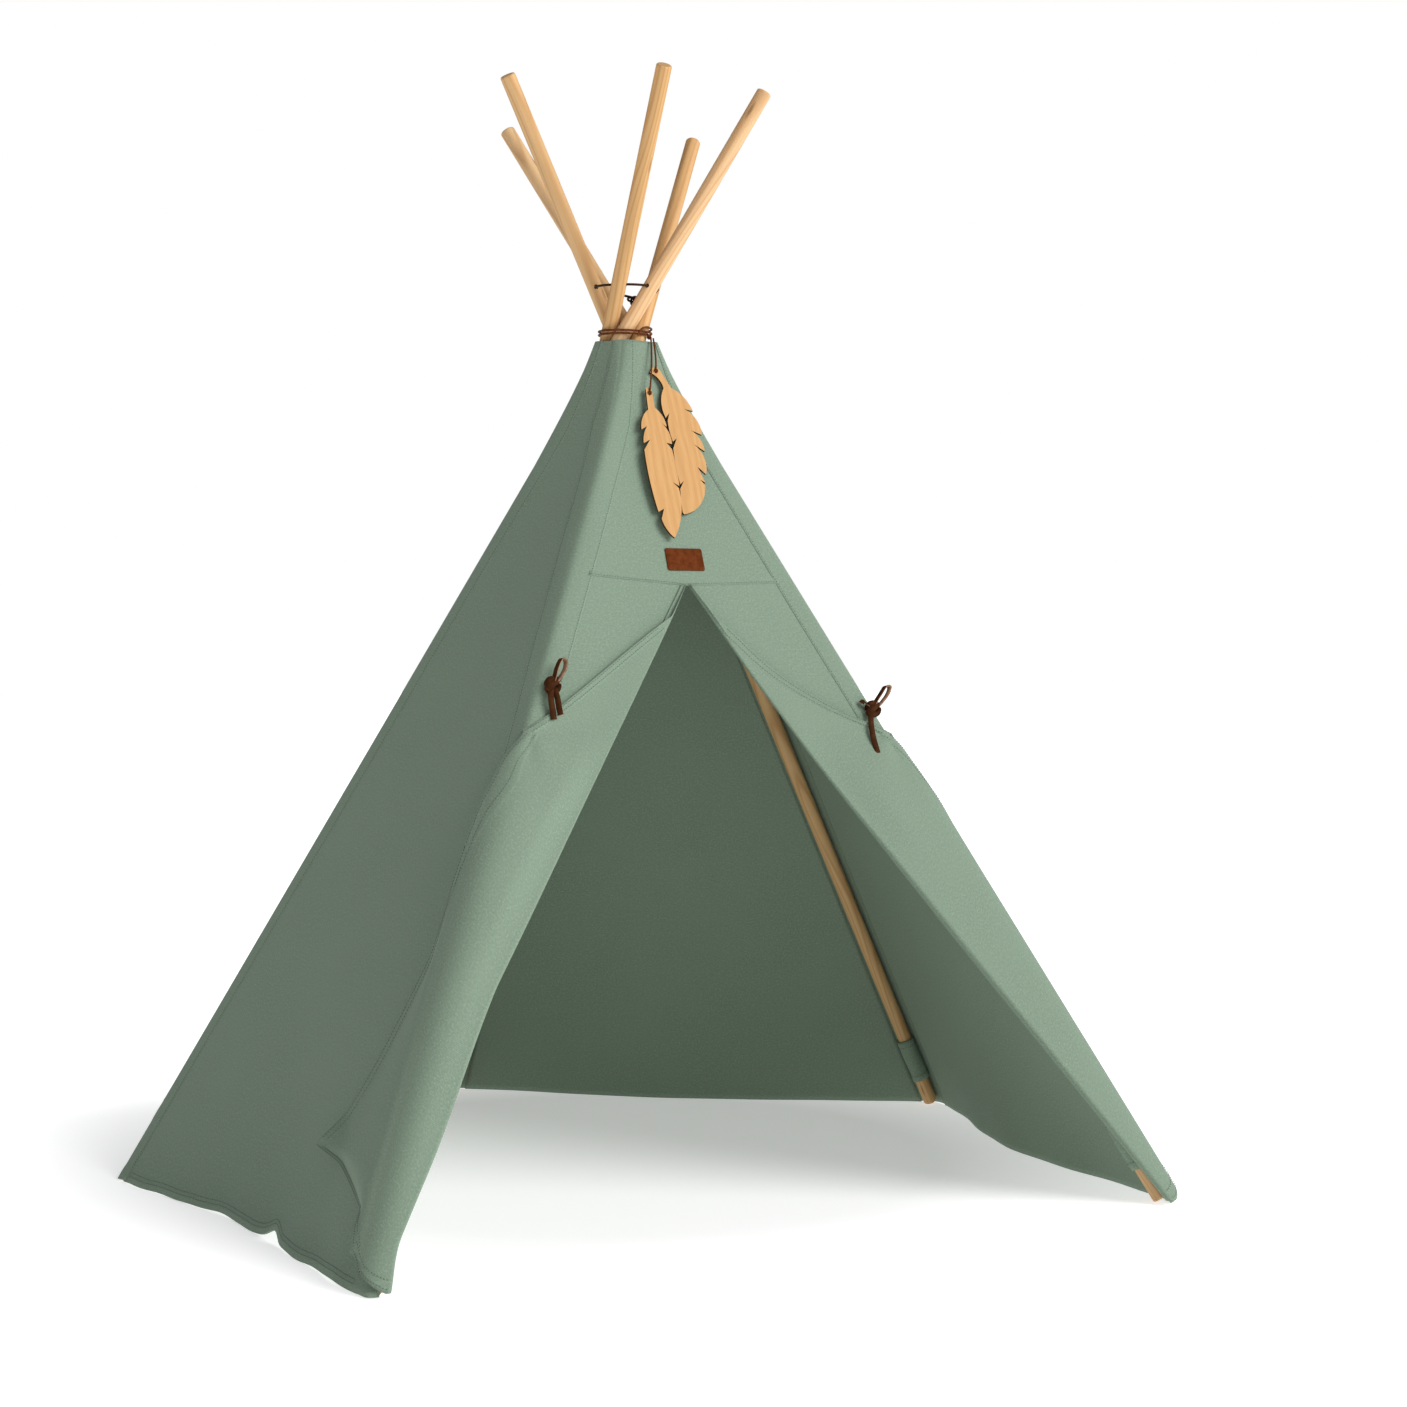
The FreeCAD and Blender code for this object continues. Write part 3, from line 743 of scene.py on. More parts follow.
def make_yoke():
    """The front above the doorway. Its lower edge lies over the strips, with a line of thread along it."""
    def low(u):
        return yoke_seam(u) - 0.004

    def height(u, v):
        return TOP_HEIGHT + (low(u) - TOP_HEIGHT) * v

    def point(u, v):
        d, _ = between_bands("front_left", u, height(u, v))
        return cover("front_left", height(u, v), d, off=SEAM_LIFT * smooth((v - 0.96) / 0.03))

    def weight(u, v):
        d, width = between_bands("front_left", u, height(u, v))
        return d / width

    cloth = Cloth("front_yoke_canvas", point, 72, 64, COVER)
    obj = cloth.blend("pole_front_left", "front_yoke", weight)
    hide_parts("front_yoke")

    def seam(share):
        z = low(share) + 0.0025
        d, width = between_bands("front_left", share, z)
        return cover("front_left", z, d, off=SEAM_LIFT) + FRONT_OUT * CLOTH / 2, FRONT_OUT, d / width

    rows = sew("front_yoke_stitches", [seam], "pole_front_left", "front_yoke")
    flat = (wall_width("front_left", YOKE_HEIGHT), (TOP_HEIGHT - YOKE_HEIGHT) * 1.1)


make_yoke()

# sag: how far the upper hem hangs; tie: height where the hem crosses the ridge; lift, round: the roll's there
SIDES = {
    "left": dict(pole="front_left", sag=0.08, tie=0.648, lift=0.0250, round=0.021),
    "right": dict(pole="front_right", sag=0.34, tie=0.636, lift=0.0180, round=0.013),
}
STRIP_GAP = 0.0022               # between the strip and the flap folded back over it
FLAP_LIFT = 0.0052               # how far a flap's cloth stands off the cover where it lies close
FOLD_RADIUS = 0.0075             # of the roll at the floor
FOLD_RADIUS_HIGH = 0.0026
HEM_BAND = 0.017                 # width of the flap's hem
HEM_STEP = 0.003                 # the slope beside it
FLAP_ROWS = (0.004, 0.014)       # the two lines of thread along the hem, in from its edge
FOOT_ROWS = (0.005, 0.015)
LEAVES_FOLD = 0.806              # height where the hem leaves the fold
LOW_CORNER = 0.045               # height of the hem where the roll ends
ROLL_FOOT = 0.007                # height of the roll's lower edge by the fold
TURN = 0.030                     # the roll reaches this far round the ridge, and the tail starts here
TUCK = 0.008                     # of the tail under the roll


def strip_width(side, z):
    """Level distance from the ridge to the fold of the flap."""
    half = wall_width("front_left", YOKE_HEIGHT) / 2
    t = min(1.0, max(0.0, z) / YOKE_HEIGHT)
    straight = FOLD_MARGIN + (half - FOLD_MARGIN) * t
    if side == "left":
        high = min(1.0, (1 - t) / 0.60) ** 1.15
        return straight - 0.036 * high * (0.62 + 0.38 * smooth((t - 0.15) / 0.25)) * smooth(t / 0.1 + 0.2)
    return straight + 0.011 * math.sin(math.pi * t ** 1.6) - 0.010 * (1 - t) ** 3


def fold_radius(side, z):
    """Radius of the flap's fold, which is tighter near the peak of the doorway."""
    low = smooth((SIDES[side]["tie"] - z) / 0.25)
    radius = FOLD_RADIUS_HIGH + (FOLD_RADIUS - FOLD_RADIUS_HIGH) * low
    return radius * (0.35 + 0.65 * smooth((YOKE_HEIGHT - z) / 0.05))


def fold_centre(side, z):
    """Level distance from the ridge to the middle of the fold's curve."""
    return strip_width(side, z) - fold_radius(side, z)


def flap_edge(side, z):
    """Signed level distance of the flap's hem from the ridge: above 0 it is round on the side wall."""
    tie = SIDES[side]["tie"]
    if z <= FLAP_CORNER_HEIGHT:
        t = max(0.0, z - LOW_CORNER) / (FLAP_CORNER_HEIGHT - LOW_CORNER)
        return TURN + (FLAP_CORNER_OUT - TURN) * t * t
    if z <= tie:
        t = (z - FLAP_CORNER_HEIGHT) / (tie - FLAP_CORNER_HEIGHT)
        hollow = 1.2 * (1 - 0.62 * t) * t * (1 - t)
        return FLAP_CORNER_OUT * (1 - t - hollow) + 0.005 * bump(z, tie - 0.03, 0.025)
    t = min(1.0, (z - tie) / (LEAVES_FOLD - tie))
    sag = SIDES[side]["sag"] * math.sin(math.pi * t) * (1 - t) ** 0.5
    return 0.008 * bump(z, tie, 0.02) - strip_width(side, z) * (t + sag)


def on_front(side, z, d, off=0.0, round_off=RIDGE_ROUND):
    """d is the distance from the ridge: below 0 towards the doorway, above 0 round on the side wall."""
    if side == "left":
        return cover("front_left", z, -d, off, round_off)
    return cover("front_right", z, d, off, round_off)


def make_strip(side):
    """The cloth between the band of a front pole and the fold of the flap."""
    pole = SIDES[side]["pole"]

    def reach(z):
        far = fold_centre(side, z)
        return min(band_half(pole, z), far - BAND_SHORT) - OVERLAP, far

    def height(u, v):
        seam = yoke_seam(u / 2 if side == "left" else 1 - u / 2) + 0.003
        return seam + (0.004 - seam) * v

    def point(u, v):
        z = height(u, v)
        near, far = reach(z)
        return on_front(side, z, -(near + (far - near) * u))

    def weight(u, v):
        z = height(u, v)
        near, far = reach(z)
        return smooth((near + (far - near) * u) / max(0.001, strip_width(side, z)))

    cloth = Cloth("door_strip_%s_canvas" % side, point, 24, 110, COVER)
    obj = cloth.blend("pole_" + pole, "door_strip_" + side, weight)
    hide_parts("door_strip_" + side)


def flap_off(side, z, d):
    """How far the flap's cloth stands off the cover: a full roll by the fold, then closer to the hem."""
    fold = STRIP_GAP + 2 * fold_radius(side, z)
    high = smooth((z - SIDES[side]["tie"] + 0.10) / 0.12)
    lift = SIDES[side]["lift"]
    reach = max(0.05, flap_edge(side, z) - 0.02)
    over_ridge = lift + (FLAP_LIFT - lift) * max(high, smooth((d - 0.02) / reach))
    return fold + (over_ridge - fold) * smooth((d + fold_centre(side, z)) / 0.055)


def drawn_folds(side, z, d):
    """Soft folds that run out from the tie, which gathers the cloth."""
    up = z - SIDES[side]["tie"]
    away = math.hypot(up, d)
    rays = math.cos(5.0 * math.atan2(up, d + 0.004))
    return 0.0024 * rays * smooth(away / 0.02) * math.exp(-away / 0.085)


def roll_round(side, z):
    """How softly the roll turns over the ridge. The tie pulls it tighter."""
    gather = 1 - 0.4 * bump(z, SIDES[side]["tie"], 0.05)
    return RIDGE_ROUND + (SIDES[side]["round"] - RIDGE_ROUND) * gather


def flap_point(side, z, d, tucked=False):
    """A point of the folded-back flap. Its hem lifts a little, and its free corner curls off the wall."""
    off = flap_off(side, z, d) + 0.0016 * smooth((d - flap_edge(side, z) + HEM_BAND) / HEM_BAND)
    corner = math.hypot((FLAP_CORNER_OUT - d) * 0.8, z - FLAP_CORNER_HEIGHT)
    gathers = drawn_folds(side, z, d) * smooth((d + fold_centre(side, z)) / 0.03)
    off = off + 0.016 * (1 - smooth(corner / 0.055)) + gathers
    tuck = 0.0020 * (1 - smooth((d - TURN + TUCK) / 0.007)) if tucked else 0.0
    return on_front(side, z, d, max(0.0030, off) - tuck, roll_round(side, z))


def fold_point(side, z, turn, radius):
    """The fold of the flap: turn runs from 0, facing the strip, to 1, facing out."""
    a = math.pi * turn
    d = -fold_centre(side, z) - radius * math.sin(a)
    rounding = RIDGE_ROUND + (roll_round(side, z) - RIDGE_ROUND) * smooth(turn)
    return on_front(side, z, d, STRIP_GAP + radius * (1 - math.cos(a)), rounding)


def flap_hem(side, z, d):
    """Extra thickness where the hem is turned in."""
    return HEM_THICK * (1 - smooth((flap_edge(side, z) - d - HEM_BAND) / HEM_STEP))


def towards_hem(u, start, end):
    """Columns of a flap, with rows of points along the hem and along the step beside it."""
    full = HEM_BAND + HEM_STEP
    hem = min(full, 0.5 * (end - start))
    if u < 0.6:
        return start + (end - start - hem) * (u / 0.6)
    if u < 0.7:
        return end - hem + HEM_STEP * ((u - 0.6) / 0.1) * hem / full
    return end - hem * HEM_BAND / full * (1 - (u - 0.7) / 0.3)


def make_flap(side):
    """A door flap: a roll from the fold round the ridge, a tail on the side wall, and the fold's lining."""
    inner, outer, strip = "door_flap_inner_" + side, "door_flap_outer_" + side, "door_strip_" + side
    high = YOKE_HEIGHT - 0.004
    under, over = 0.05, 0.28         # shares of the roll's columns: below the fold, and up to its top

    def height(u, v):
        low = ROLL_FOOT + (LOW_CORNER - ROLL_FOOT) * smooth((u - over) / (1 - over))
        return high + (low - high) * v

    def reach(u, z):
        start = -fold_centre(side, z)
        if u <= over:
            return start
        end = max(start + 0.0004, min(flap_edge(side, z), TURN))
        return towards_hem((u - over) / (1 - over), start, end)

    def point(u, v):
        z = height(u, v)
        if u < under:
            back = 0.006 * (1 - u / under)
            return on_front(side, z, -fold_centre(side, z) + back, STRIP_GAP)
        if u < over:
            return fold_point(side, z, (u - under) / (over - under), fold_radius(side, z))
        return flap_point(side, z, reach(u, z))

    def thick(u, v):
        z = height(u, v)
        d = reach(u, z)
        if flap_edge(side, z) > TURN:
            return -0.0006 * smooth((d - TURN + 0.003) / 0.003)
        return flap_hem(side, z, d) * smooth((u - over) / 0.1)

    def follow(d):
        """Weight of the outer body at a distance from the ridge."""
        return smooth((d + TURN) / (2 * TURN))

    cloth = Cloth("door_flap_%s_roll" % side, point, 84, 150, COVER, hem=thick)
    roll = cloth.blend(inner, outer, lambda u, v: follow(reach(u, height(u, v))))
    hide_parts(inner)

    top = SIDES[side]["tie"]
    while flap_edge(side, top) < TURN:
        top -= 0.001

    def tail_point(u, v):
        z = top + (LOW_CORNER - top) * v
        end = max(TURN, flap_edge(side, z))
        return flap_point(side, z, towards_hem(u, TURN - TUCK, end + 0.0002), tucked=True)

    def tail_thick(u, v):
        z = top + (LOW_CORNER - top) * v
        return flap_hem(side, z, towards_hem(u, TURN - TUCK, max(TURN, flap_edge(side, z))))

    tail_cloth = Cloth("door_flap_%s_tail" % side, tail_point, 52, 120, COVER, hem=tail_thick)
    tail = tail_cloth.obj
    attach(tail, outer)
    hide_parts(outer)
    mid = flap_point(side, 0.3, TURN)
    away = (flap_point(side, 0.3, TURN + 0.05) - mid).normalized()
    up = (flap_point(side, 0.5, TURN) - flap_point(side, 0.1, TURN)).normalized()
    away = (away - up * away.dot(up)).normalized()
    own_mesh(tail)

    def lining(u, v):
        z = height(0, v)
        return fold_point(side, z, u, 0.55 * fold_radius(side, z))   # inside the roll's own fold

    lining_cloth = Cloth("door_flap_%s_fold" % side, lining, 13, 110, COVER, thickness=0.0008)
    fold = lining_cloth.blend(strip, inner, lambda u, v: smooth(u))

    def hem_at(z, d):
        p = flap_point(side, z, d)
        n = outward((flap_point(side, z, d + NEAR) - p).cross(flap_point(side, z + NEAR, d) - p), p)
        return p + n * (CLOTH / 2 + 0.0009), n, d

    def upper(share, back):
        first = LEAVES_FOLD - 0.020
        z = first + (top - first) * share
        p, n, d = hem_at(z, flap_edge(side, z) - back)
        return p, n, follow(d)

    def bottom_row(share, gap):
        z = height(over + (1 - over) * share, 1.0) + gap
        p, n, d = hem_at(z, -fold_centre(side, z) + (fold_centre(side, z) + TURN - 0.002) * share)
        return p, n, follow(d)

    rows = sew("door_flap_%s_upper_stitches" % side,
               rows_of(upper, FLAP_ROWS) + rows_of(bottom_row, FLAP_ROWS), inner, outer)

    def lower(share, back):
        z = top + (FLAP_CORNER_HEIGHT + 0.008 - top) * share
        return hem_at(z, flap_edge(side, z) - back)

    def foot(share, back):
        z = FLAP_CORNER_HEIGHT + (LOW_CORNER + 0.004 - FLAP_CORNER_HEIGHT) * share
        return hem_at(z, flap_edge(side, z) - back)

    tail_rows = sew("door_flap_%s_hem_stitches" % side, rows_of(lower, FLAP_ROWS) + rows_of(foot, FOOT_ROWS),
                    outer)
    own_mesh(tail_rows)


for pole in ORDER:
    make_band(pole)
for side in SIDES:
    make_strip(side)
    make_flap(side)


# ---- loops that hold the pole feet -------------------------------------------
LOOP_WIDTH = 0.080               # along the pole
LOOP_RADIUS = 0.0126
LOOP_ROWS = (0.14, 0.86)         # the two lines of thread, as shares of the width


def make_loop(pole):
    """A folded canvas band round the foot of a pole, sewn into the corner of the cover."""
    lowest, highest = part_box("pole_loop_" + pole)
    axis = pole_direction(pole)
    out = level(POLES[pole][2])
    out = (out - axis * out.dot(axis)).normalized()
    across = axis.cross(out)
    middle = pole_at(pole, (lowest.z + highest.z) / 2)

    def point(u, v):
        a = 2 * math.pi * u
        radius = LOOP_RADIUS + 0.0006 * math.sin(3 * a + 5 * v) + 0.0010 * bump(v, 0.5, 0.3)
        p = middle + axis * (LOOP_WIDTH * (0.5 - v) + 0.001 * math.sin(2 * a))
        return p + (out * math.cos(a) + across * math.sin(a)) * radius

    cloth = Cloth("pole_loop_%s_canvas" % pole, point, 33, 17, COVER, thickness=0.0016,
                  hem=lambda u, v: 0.0005 * (smooth((v - 0.82) / 0.04) + smooth((0.18 - v) / 0.04)))
    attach(cloth.obj, "pole_" + pole)
    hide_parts("pole_loop_" + pole)

    def row(share, v):
        p = point(share, v)
        n = (p - middle) - axis * (p - middle).dot(axis)
        n.normalize()
        return p + n * 0.0014, n, 0.0

    rows = sew("pole_loop_%s_stitches" % pole, rows_of(row, LOOP_ROWS), "pole_" + pole)


for pole in ORDER:
    make_loop(pole)


# ---- leather -----------------------------------------------------------------
def spline(points, closed=False, steps=10):
    """A smooth line through given points."""
    out = []
    count = len(points)
    spans = count if closed else count - 1
    for i in range(spans):
        p0 = points[(i - 1) % count] if closed or i > 0 else points[0]
        p1, p2 = points[i], points[(i + 1) % count]
        p3 = points[(i + 2) % count] if closed or i + 2 < count else points[-1]
        for k in range(steps):
            t = k / steps
            out.append(0.5 * ((2 * p1) + (p2 - p0) * t + (2 * p0 - 5 * p1 + 4 * p2 - p3) * t * t
                              + (3 * p1 - p0 - 3 * p2 + p3) * t ** 3))
    if not closed:
        out.append(points[-1].copy())
    return out


def strap(name, points, sides, width, thickness, skin, flesh, closed=False):
    """A flat leather strip along a line: skin on one face, flesh on the other, softened edges."""
    line, across = spline(points, closed), spline(sides, closed)
    half, t = width / 2, thickness / 2
    inset = half * 0.93
    profile = [(-half, -t * 0.4), (-inset, -t), (0, -t), (inset, -t), (half, -t * 0.4),
               (half, t * 0.4), (inset, t), (0, t * 1.1), (-inset, t), (-half, t * 0.4)]
    verts, faces, slots = [], [], []
    count, ring = len(line), len(profile)
    for i, p in enumerate(line):
        ahead = line[(i + 1) % count] if closed or i + 1 < count else p
        behind = line[i - 1] if closed or i > 0 else p
        along = (ahead - behind).normalized()
        side = (across[i] - along * across[i].dot(along)).normalized()
        n = along.cross(side)
        verts += [p + side * a + n * b for a, b in profile]
    for i in range(count if closed else count - 1):
        for j in range(ring):
            a, b = i * ring + j, i * ring + (j + 1) % ring
            c, d = ((i + 1) % count) * ring + (j + 1) % ring, ((i + 1) % count) * ring + j
            faces.append((a, b, c, d))
            slots.append(1 if j < 4 else 0)
    if not closed:
        faces += [tuple(range(ring))[::-1], tuple((count - 1) * ring + j for j in range(ring))]
        slots += [1, 1]
    obj = new_object(name, verts, faces, skin)
    obj.data.materials.append(flesh)
    obj.data.polygons.foreach_set("material_index", slots)
    return obj


def join(name, parts):
    """Makes one object of several."""
    bpy.ops.object.select_all(action="DESELECT")
    for p in parts:
        p.select_set(True)
    bpy.context.view_layer.objects.active = parts[0]
    bpy.ops.object.join()
    parts[0].name = name
    return parts[0]


# height on the ridge, distance towards the doorway, then each strip's points: right, down, out in millimetres
TIES = {
    "left": dict(height=0.710, inward=0.016, end=[(-1, 5, 3), (-3, 18, 6), (0, 34, 4), (3, 50, 3)],
                 short=[(3, 6, 4), (6, 20, 7), (8, 34, 8), (10, 46, 9)],
                 loop=[(0, 1, 3), (2, -10, 7), (4, -22, 10), (9, -33, 13), (16, -30, 12), (15, -18, 10),
                       (8, -6, 6), (2, 2, 3)]),
    "right": dict(height=0.672, inward=0.008, end=[(-2, 5, 3), (-6, 20, 6), (-4, 44, 5), (2, 70, 4)],
                  short=[(-2, 0, 3), (-8, -6, 4), (-14, -11, 3), (-17, -9, 2)],
                  loop=[(0, 1, 3), (5, -10, 6), (11, -19, 9), (19, -30, 12), (26, -29, 12), (22, -18, 10),
                        (12, -6, 6), (3, 2, 3)]),
}


def make_tie(side):
    """A leather thong pulled through a half bow over the roll: loop, knot and two ends."""
    facts, tie = SIDES[side], TIES[side]
    z = tie["height"]
    base = on_front(side, z, -tie["inward"], 0.0075)
    a, b = ridge("front_left", z), ridge("front_right", z)
    right = (b - a).normalized()
    slope = on_front(side, z - 0.03, -0.05) - on_front(side, z + 0.03, -0.05)
    down = (slope - right * slope.dot(right)).normalized()
    out = down.cross(right)
    out = out if out.y < 0 else -out
    plumb = down * 0.98 - right * 0.17               # the ends hang a little across the slope

    def way(r, d, o):
        return right * r + plumb * d + out * o

    def at(r, d, o):
        return base + way(r, d, o) * 0.001

    def strip(name, points, across, skin, flesh, width=0.0080, thick=0.0018, closed=False):
        sides = [way(*across)] * len(points)
        return strap(name, [at(*p) for p in points], sides, width, thick, skin, flesh, closed)

    knot_points = [(-7, 1, 1), (-5, -4, 6), (3, -5, 7), (8, -1, 5), (6, 6, 2), (-2, 7, 1)]
    cross_points = [(-8, 7, 3), (-3, 3, 8.5), (4, -3, 8), (9, -9, 4)]
    short_across = (0.5, 0.9, 0.5) if side == "right" else (1, 0.1, 0.8)
    loop = strip("loop", tie["loop"], (0.35, 0.25, 1), TIE_FLESH, TIE_SKIN)
    knot = strip("knot", knot_points, (0.2, 1, 0.1), TIE_SKIN, TIE_SKIN, 0.0120, 0.0024, closed=True)
    cross = strip("cross", cross_points, (0.7, 0.7, 0.2), TIE_SKIN, TIE_SKIN, 0.0090, 0.0020)
    end = strip("end", tie["end"], (1, 0.05, 0.25), TIE_SKIN, TIE_FLESH)
    short = strip("short", tie["short"], short_across, TIE_SKIN, TIE_FLESH)
    obj = join("leather_tie_%s_thong" % side, [knot, loop, cross, end, short])
    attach(obj, "pole_" + facts["pole"])
    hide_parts("leather_tie_" + side)


for side in SIDES:
    make_tie(side)


LABEL_SIZE = (0.059, 0.0355)
LABEL_CORNER = 0.0030
LABEL_ROWS = (0.055, 0.945)      # the two lines of thread, as shares of the width


def make_label():
    """A blank leather patch with rounded corners, sewn down along its short sides."""
    low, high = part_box("leather_label")
    wide, tall = LABEL_SIZE
    top_z, bottom_z = high.z - 0.001, low.z + 0.001
    left = low.x + 0.0005

    def point(u, v):
        z = top_z + (bottom_z - top_z) * v
        x = left + wide * u
        width = wall_width("front_left", z)
        a, b = ridge("front_left", z), ridge("front_right", z)
        d = (x - a.x) / (b.x - a.x) * width
        return cover("front_left", z, d, off=0.0019)

    def inset(u, v):
        edge = min(min(u, 1 - u) * wide, min(v, 1 - v) * tall)
        return -0.0005 * (1 - smooth(edge / 0.0014)) - 0.00025 * bump(edge, 0.0035, 0.0006)

    def rounded(u, v):
        x, y = (u - 0.5) * wide, (v - 0.5) * tall
        cx, cy = wide / 2 - LABEL_CORNER, tall / 2 - LABEL_CORNER
        if abs(x) > cx and abs(y) > cy:
            dx, dy = abs(x) - cx, abs(y) - cy
            reach = max(dx, dy)
            length = math.hypot(dx, dy)
            x = math.copysign(cx + dx * reach / max(length, 1e-9), x)
            y = math.copysign(cy + dy * reach / max(length, 1e-9), y)
        return point(x / wide + 0.5, y / tall + 0.5)

    cloth = Cloth("leather_label_patch", rounded, 57, 41, LABEL_SKIN, thickness=0.0016, hem=inset)

    def weight(u, v):
        p = point(u, v)
        a, b = ridge("front_left", p.z), ridge("front_right", p.z)
        return (p.x - a.x) / (b.x - a.x)

    obj = cloth.blend("pole_front_left", "front_yoke", weight)
    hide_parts("leather_label")

    def row(share, u):
        v = 0.10 + 0.80 * share
        return point(u, v) + FRONT_OUT * 0.0008, FRONT_OUT, weight(u, v)

    sew("leather_label_stitches", rows_of(row, LABEL_ROWS), "pole_front_left", "front_yoke",
        skin=LABEL_EDGE, slot="label_leather", step=0.0036, long=0.0026, wide=0.0008)


make_label()


# ---- feathers and cords ------------------------------------------------------
def cad_front_face(z):
    """Middle of the CAD yoke's outer face at a height, which the feathers lie on."""
    def corner(name):
        out = level(POLES[name][2]) * RIDGE_OUT
        if z <= KNEE_HEIGHT:
            return pole_at(name, z) + out
        top = HUB + level(POLES[name][0] + TOP_TURN) * TOP_RADIUS + UP * TOP_HEIGHT
        return (pole_at(name, KNEE_HEIGHT) + out).lerp(top, (z - KNEE_HEIGHT) / (TOP_HEIGHT - KNEE_HEIGHT))

    a, b = corner("front_left"), corner("front_right")
    along = (b - a).normalized()
    outward = along.cross(UP)
    share = max(0.0, (z - KNEE_HEIGHT) / (TOP_HEIGHT - KNEE_HEIGHT))
    return (a + b) / 2 + outward * (0.0017 + share * 0.009), a, b


class FrontFrame:
    """Axes lying on the yoke: right, down and out, from a point on its middle line."""

    def __init__(self, z_high, z_low, right, lift):
        high, _, _ = cad_front_face(z_high)
        low, a, b = cad_front_face(z_low)
        self.right = (b - a).normalized()
        self.down = ((low - high) - self.right * (low - high).dot(self.right)).normalized()
        self.out = self.down.cross(self.right)
        if self.out.y > 0:
            self.out = -self.out
        self.origin = high + self.right * right + self.out * lift

    def at(self, right, down, out=0.0):
        return self.origin + self.right * right + self.down * down + self.out * out

    def axes(self):
        return self.right, self.down, self.out


FEATHER_DROP = 0.215
ROUND_TOP, LONG_TOP = 1.152, 1.116
ROUND_FRAME = FrontFrame(ROUND_TOP, ROUND_TOP - FEATHER_DROP, 0.006, 0.0015)
LONG_FRAME = FrontFrame(LONG_TOP, LONG_TOP - FEATHER_DROP, -0.0135, 0.0075)
for name, lying in [("feather_long", LONG_FRAME), ("feather_round", ROUND_FRAME)]:
    feather = nodes[name]
    feather.data.materials.clear()
    feather.data.materials.append(plywood("birch_" + name, lying.axes()))


def ring_point(direction_deg, radius, z):
    return HUB + level(direction_deg) * radius + UP * z


def cord_curve(name, points, radius, skin, closed=False):
    """A round cord along a route of given points."""
    data = bpy.data.curves.new(name, "CURVE")
    data.dimensions = "3D"
    data.bevel_depth = radius
    data.bevel_resolution = 4
    data.resolution_u = 14
    data.use_fill_caps = True
    line = data.splines.new("NURBS")
    line.points.add(len(points) - 1)
    for control, p in zip(line.points, points):
        control.co = (*p, 1.0)
    line.order_u = 3
    if closed:
        line.use_cyclic_u = True
    else:
        line.use_endpoint_u = True
    data.materials.append(skin)
    obj = bpy.data.objects.new(name, data)
    bpy.context.scene.collection.objects.link(obj)
    return obj


def tied_knot(name, centre, size, radius, skin, right, up):
    """An overhand knot drawn tight: the cord's three crossings, a little flattened."""
    out = right.cross(up)
    points = []
    steps = 24
    for k in range(steps):
        t = 2 * math.pi * k / steps
        x, y, z = math.sin(t) + 2 * math.sin(2 * t), math.cos(t) - 2 * math.cos(2 * t), -math.sin(3 * t)
        points.append(centre + (right * x * 1.15 + up * y + out * z * 1.3) * (size / 3))
    return cord_curve(name, points, radius, skin, closed=True)


WRAP_KNOT_TURN, LASHING_KNOT_TURN = 304.0, 51.6
WRAP_KNOT = ring_point(WRAP_KNOT_TURN, 0.0415, 1.2065)
LASHING_KNOT = ring_point(LASHING_KNOT_TURN, 0.041, 1.266)
LONG_EXIT = WRAP_KNOT + Vector((0.0005, -0.005, -0.0035))
ROUND_EXIT = WRAP_KNOT + Vector((0.005, -0.003, -0.0035))
FEATHER_CORD_RADIUS = 0.00125

feather_cord_long = cord_curve("feather_cord_long_line", [
    LONG_EXIT, LONG_FRAME.at(0.0195, -0.072, 0.0015), LONG_FRAME.at(0.009, -0.034, 0.0055),
    LONG_FRAME.at(0.0012, -0.007, 0.006), LONG_FRAME.at(0.0, 0.0005, 0.0032),
], FEATHER_CORD_RADIUS, RUST_CORD)
feather_cord_round = cord_curve("feather_cord_round_line", [
    ROUND_EXIT, ROUND_FRAME.at(0.0042, -0.027, 0.0052),
    ROUND_FRAME.at(0.0006, -0.007, 0.0054), ROUND_FRAME.at(0.0, 0.0005, 0.0032),
], FEATHER_CORD_RADIUS, RUST_CORD)
for obj, body, node_name, sheet_frame in [
        (feather_cord_long, "feather_long", "feather_cord_long", LONG_FRAME),
        (feather_cord_round, "feather_round", "feather_cord_round", ROUND_FRAME)]:
    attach(obj, body)
    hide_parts(node_name)
    stop = tied_knot(node_name + "_stop", sheet_frame.at(0.0, 0.0, 0.0042), 0.0026, 0.0009, RUST_CORD,
                     sheet_frame.right, -sheet_frame.down)
    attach(stop, body)

for node_name, skin, slot_name in [("lashing_cord", DARK_CORD, "dark_cord"),
                                   ("wrap_cord", RUST_CORD, "leather_cord")]:
    cord = nodes[node_name]
    cord.data.materials.clear()
    cord.data.materials.append(skin)
wrap_knot = tied_knot("wrap_knot_tied", WRAP_KNOT, 0.0038, 0.0013, RUST_CORD, level(WRAP_KNOT_TURN + 90), UP)
lashing_knot = tied_knot("lashing_knot_tied", LASHING_KNOT, 0.0068, 0.0017, DARK_CORD,
                         level(LASHING_KNOT_TURN + 90), UP)
for obj, node_name, slot_name in [(wrap_knot, "wrap_knot", "leather_cord"),
                                  (lashing_knot, "lashing_knot", "dark_cord")]:
    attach(obj, "hub")
    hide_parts(node_name)


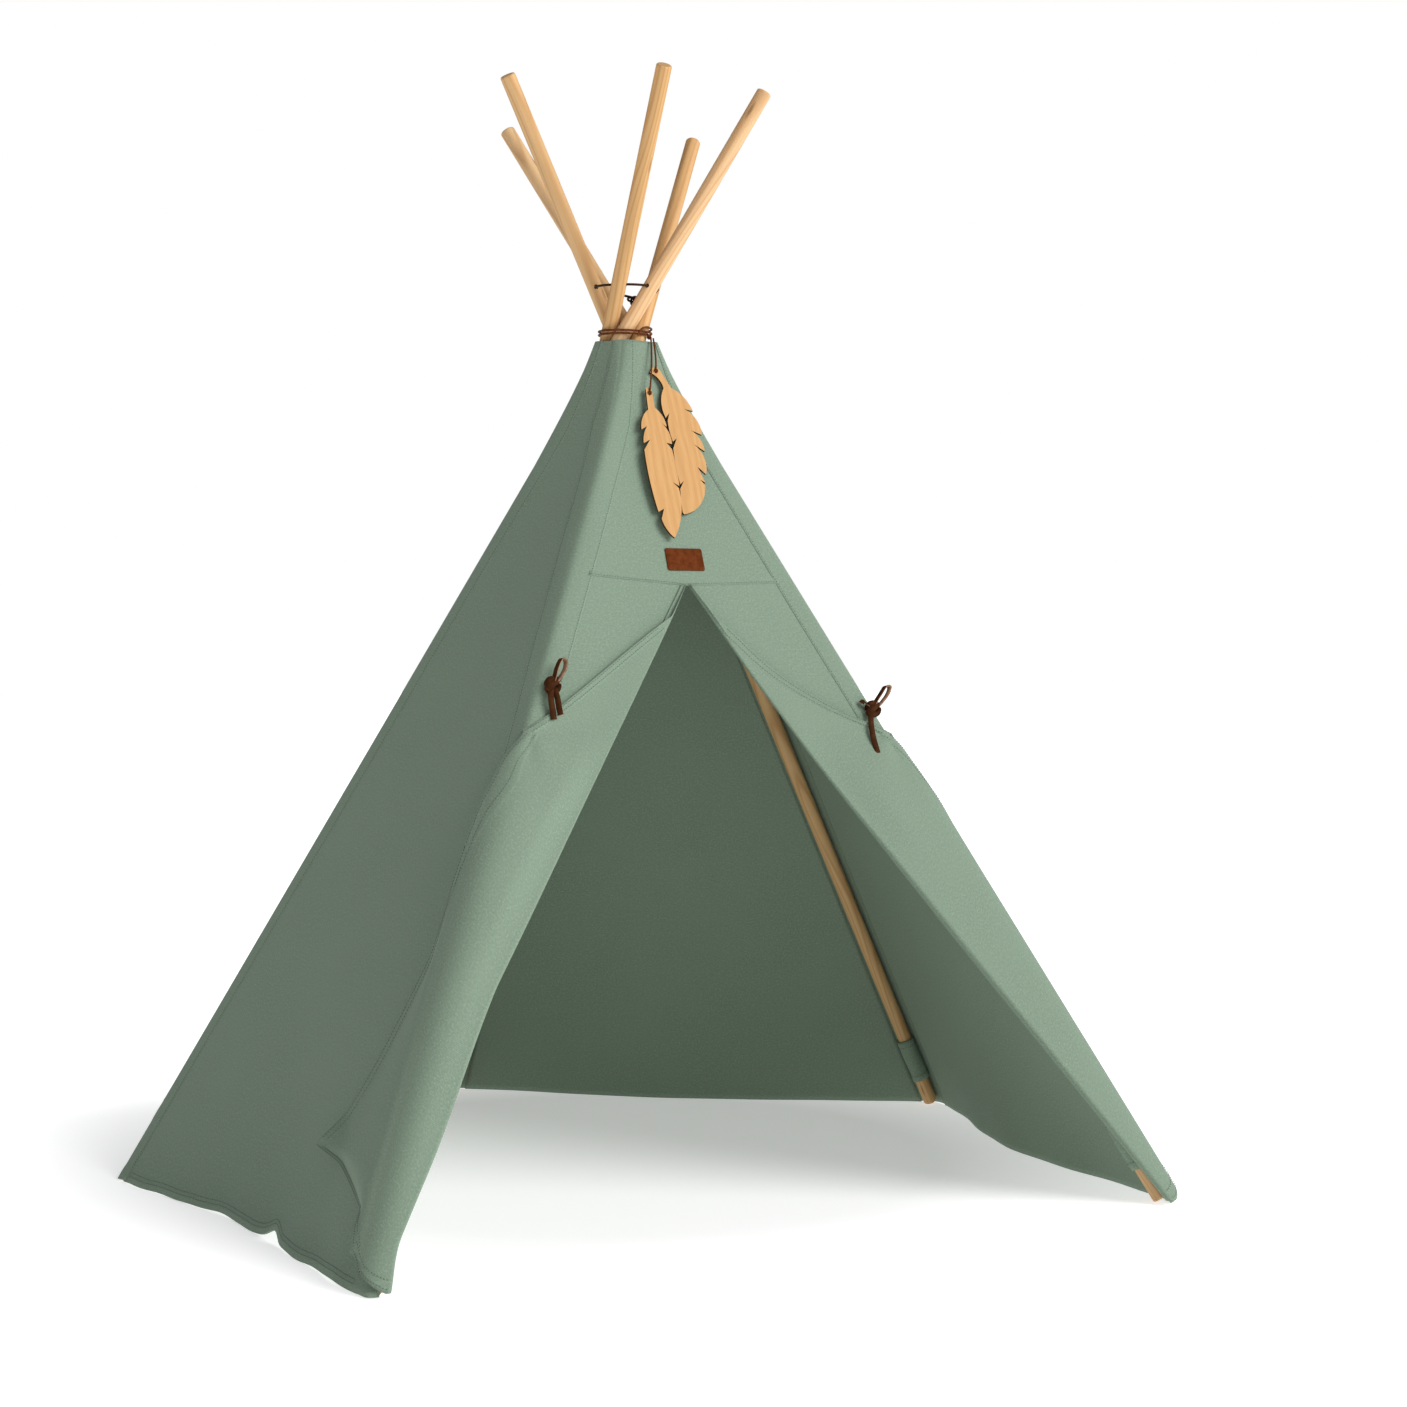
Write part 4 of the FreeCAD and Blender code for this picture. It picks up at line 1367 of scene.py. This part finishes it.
# ---- floor, light and camera -------------------------------------------------
def make_floor():
    """A wide pale floor that gives off light, a painted light, so that it meets the white backdrop. Within
    about a metre of the tent's middle it gives off less, a painted shade in and round the tent.
    """
    half = 30.0
    m, tree, shader = material("pale_floor")
    where = node(tree, "ShaderNodeTexCoord").outputs["Object"]
    speck = noise_of(tree, where, 3.0, 3.0)
    tree.links.new(mix_colour(tree, speck, (0.80,) * 3, (0.82,) * 3), shader.inputs["Base Color"])
    shader.inputs["Roughness"].default_value = 0.9
    shader.inputs["Emission Color"].default_value = (1, 1, 1, 1)
    # painted light and shade: the floor gives off light, less near the tent's middle as painted shade
    away = node(tree, "ShaderNodeVectorMath", operation="LENGTH")
    tree.links.new(where, away.inputs[0])
    painted_glow_and_shade = ranged(tree, away.outputs["Value"], 0.50, 1.00, 0.38, 0.78)
    tree.links.new(painted_glow_and_shade, shader.inputs["Emission Strength"])
    floor = new_object("floor", [(-half, -half, 0), (half, -half, 0), (half, half, 0), (-half, half, 0)],
                       [(0, 1, 2, 3)], m)
    floor.location.z = cad_box[0].z - 0.0002


def make_sun(name, towards, strength, spread_deg):
    """A soft key light that shines from a direction."""
    data = bpy.data.lights.new(name, "SUN")
    data.energy = strength
    data.angle = math.radians(spread_deg)
    obj = bpy.data.objects.new(name, data)
    obj.rotation_euler = Vector(towards).to_track_quat("Z", "Y").to_euler()
    bpy.context.scene.collection.objects.link(obj)


def make_world():
    """A white backdrop, with a weaker sky for the light that falls on the tent."""
    world = bpy.data.worlds.new("studio")
    world.use_nodes = True
    tree = world.node_tree
    tree.nodes.clear()
    out = tree.nodes.new("ShaderNodeOutputWorld")
    seen = node(tree, "ShaderNodeBackground", Color=(1, 1, 1, 1), Strength=1.0)
    lighting = node(tree, "ShaderNodeBackground", Color=(0.97, 0.98, 1.0, 1), Strength=0.285)
    mixer = tree.nodes.new("ShaderNodeMixShader")
    path = tree.nodes.new("ShaderNodeLightPath")
    tree.links.new(path.outputs["Is Camera Ray"], mixer.inputs[0])
    tree.links.new(lighting.outputs[0], mixer.inputs[1])
    tree.links.new(seen.outputs[0], mixer.inputs[2])
    tree.links.new(mixer.outputs[0], out.inputs[0])
    bpy.context.scene.world = world


make_floor()
make_world()
make_sun("key", (0.54, -0.66, 0.52), 3.15, 40.0)

CAMERA_PLACE = (-1.4163, -3.5183, 0.776)
CAMERA_FACING = Vector((0.4110, 0.9112, -0.0265))
camera_data = bpy.data.cameras.new("camera")
camera_data.lens = 65.5
camera_data.sensor_width = 36.0
camera_data.clip_end = 100.0
camera = bpy.data.objects.new("camera", camera_data)
bpy.context.scene.collection.objects.link(camera)
camera.location = CAMERA_PLACE
camera.rotation_euler = CAMERA_FACING.to_track_quat("-Z", "Y").to_euler()
bpy.context.scene.camera = camera
bpy.context.scene.view_settings.view_transform = "Standard"
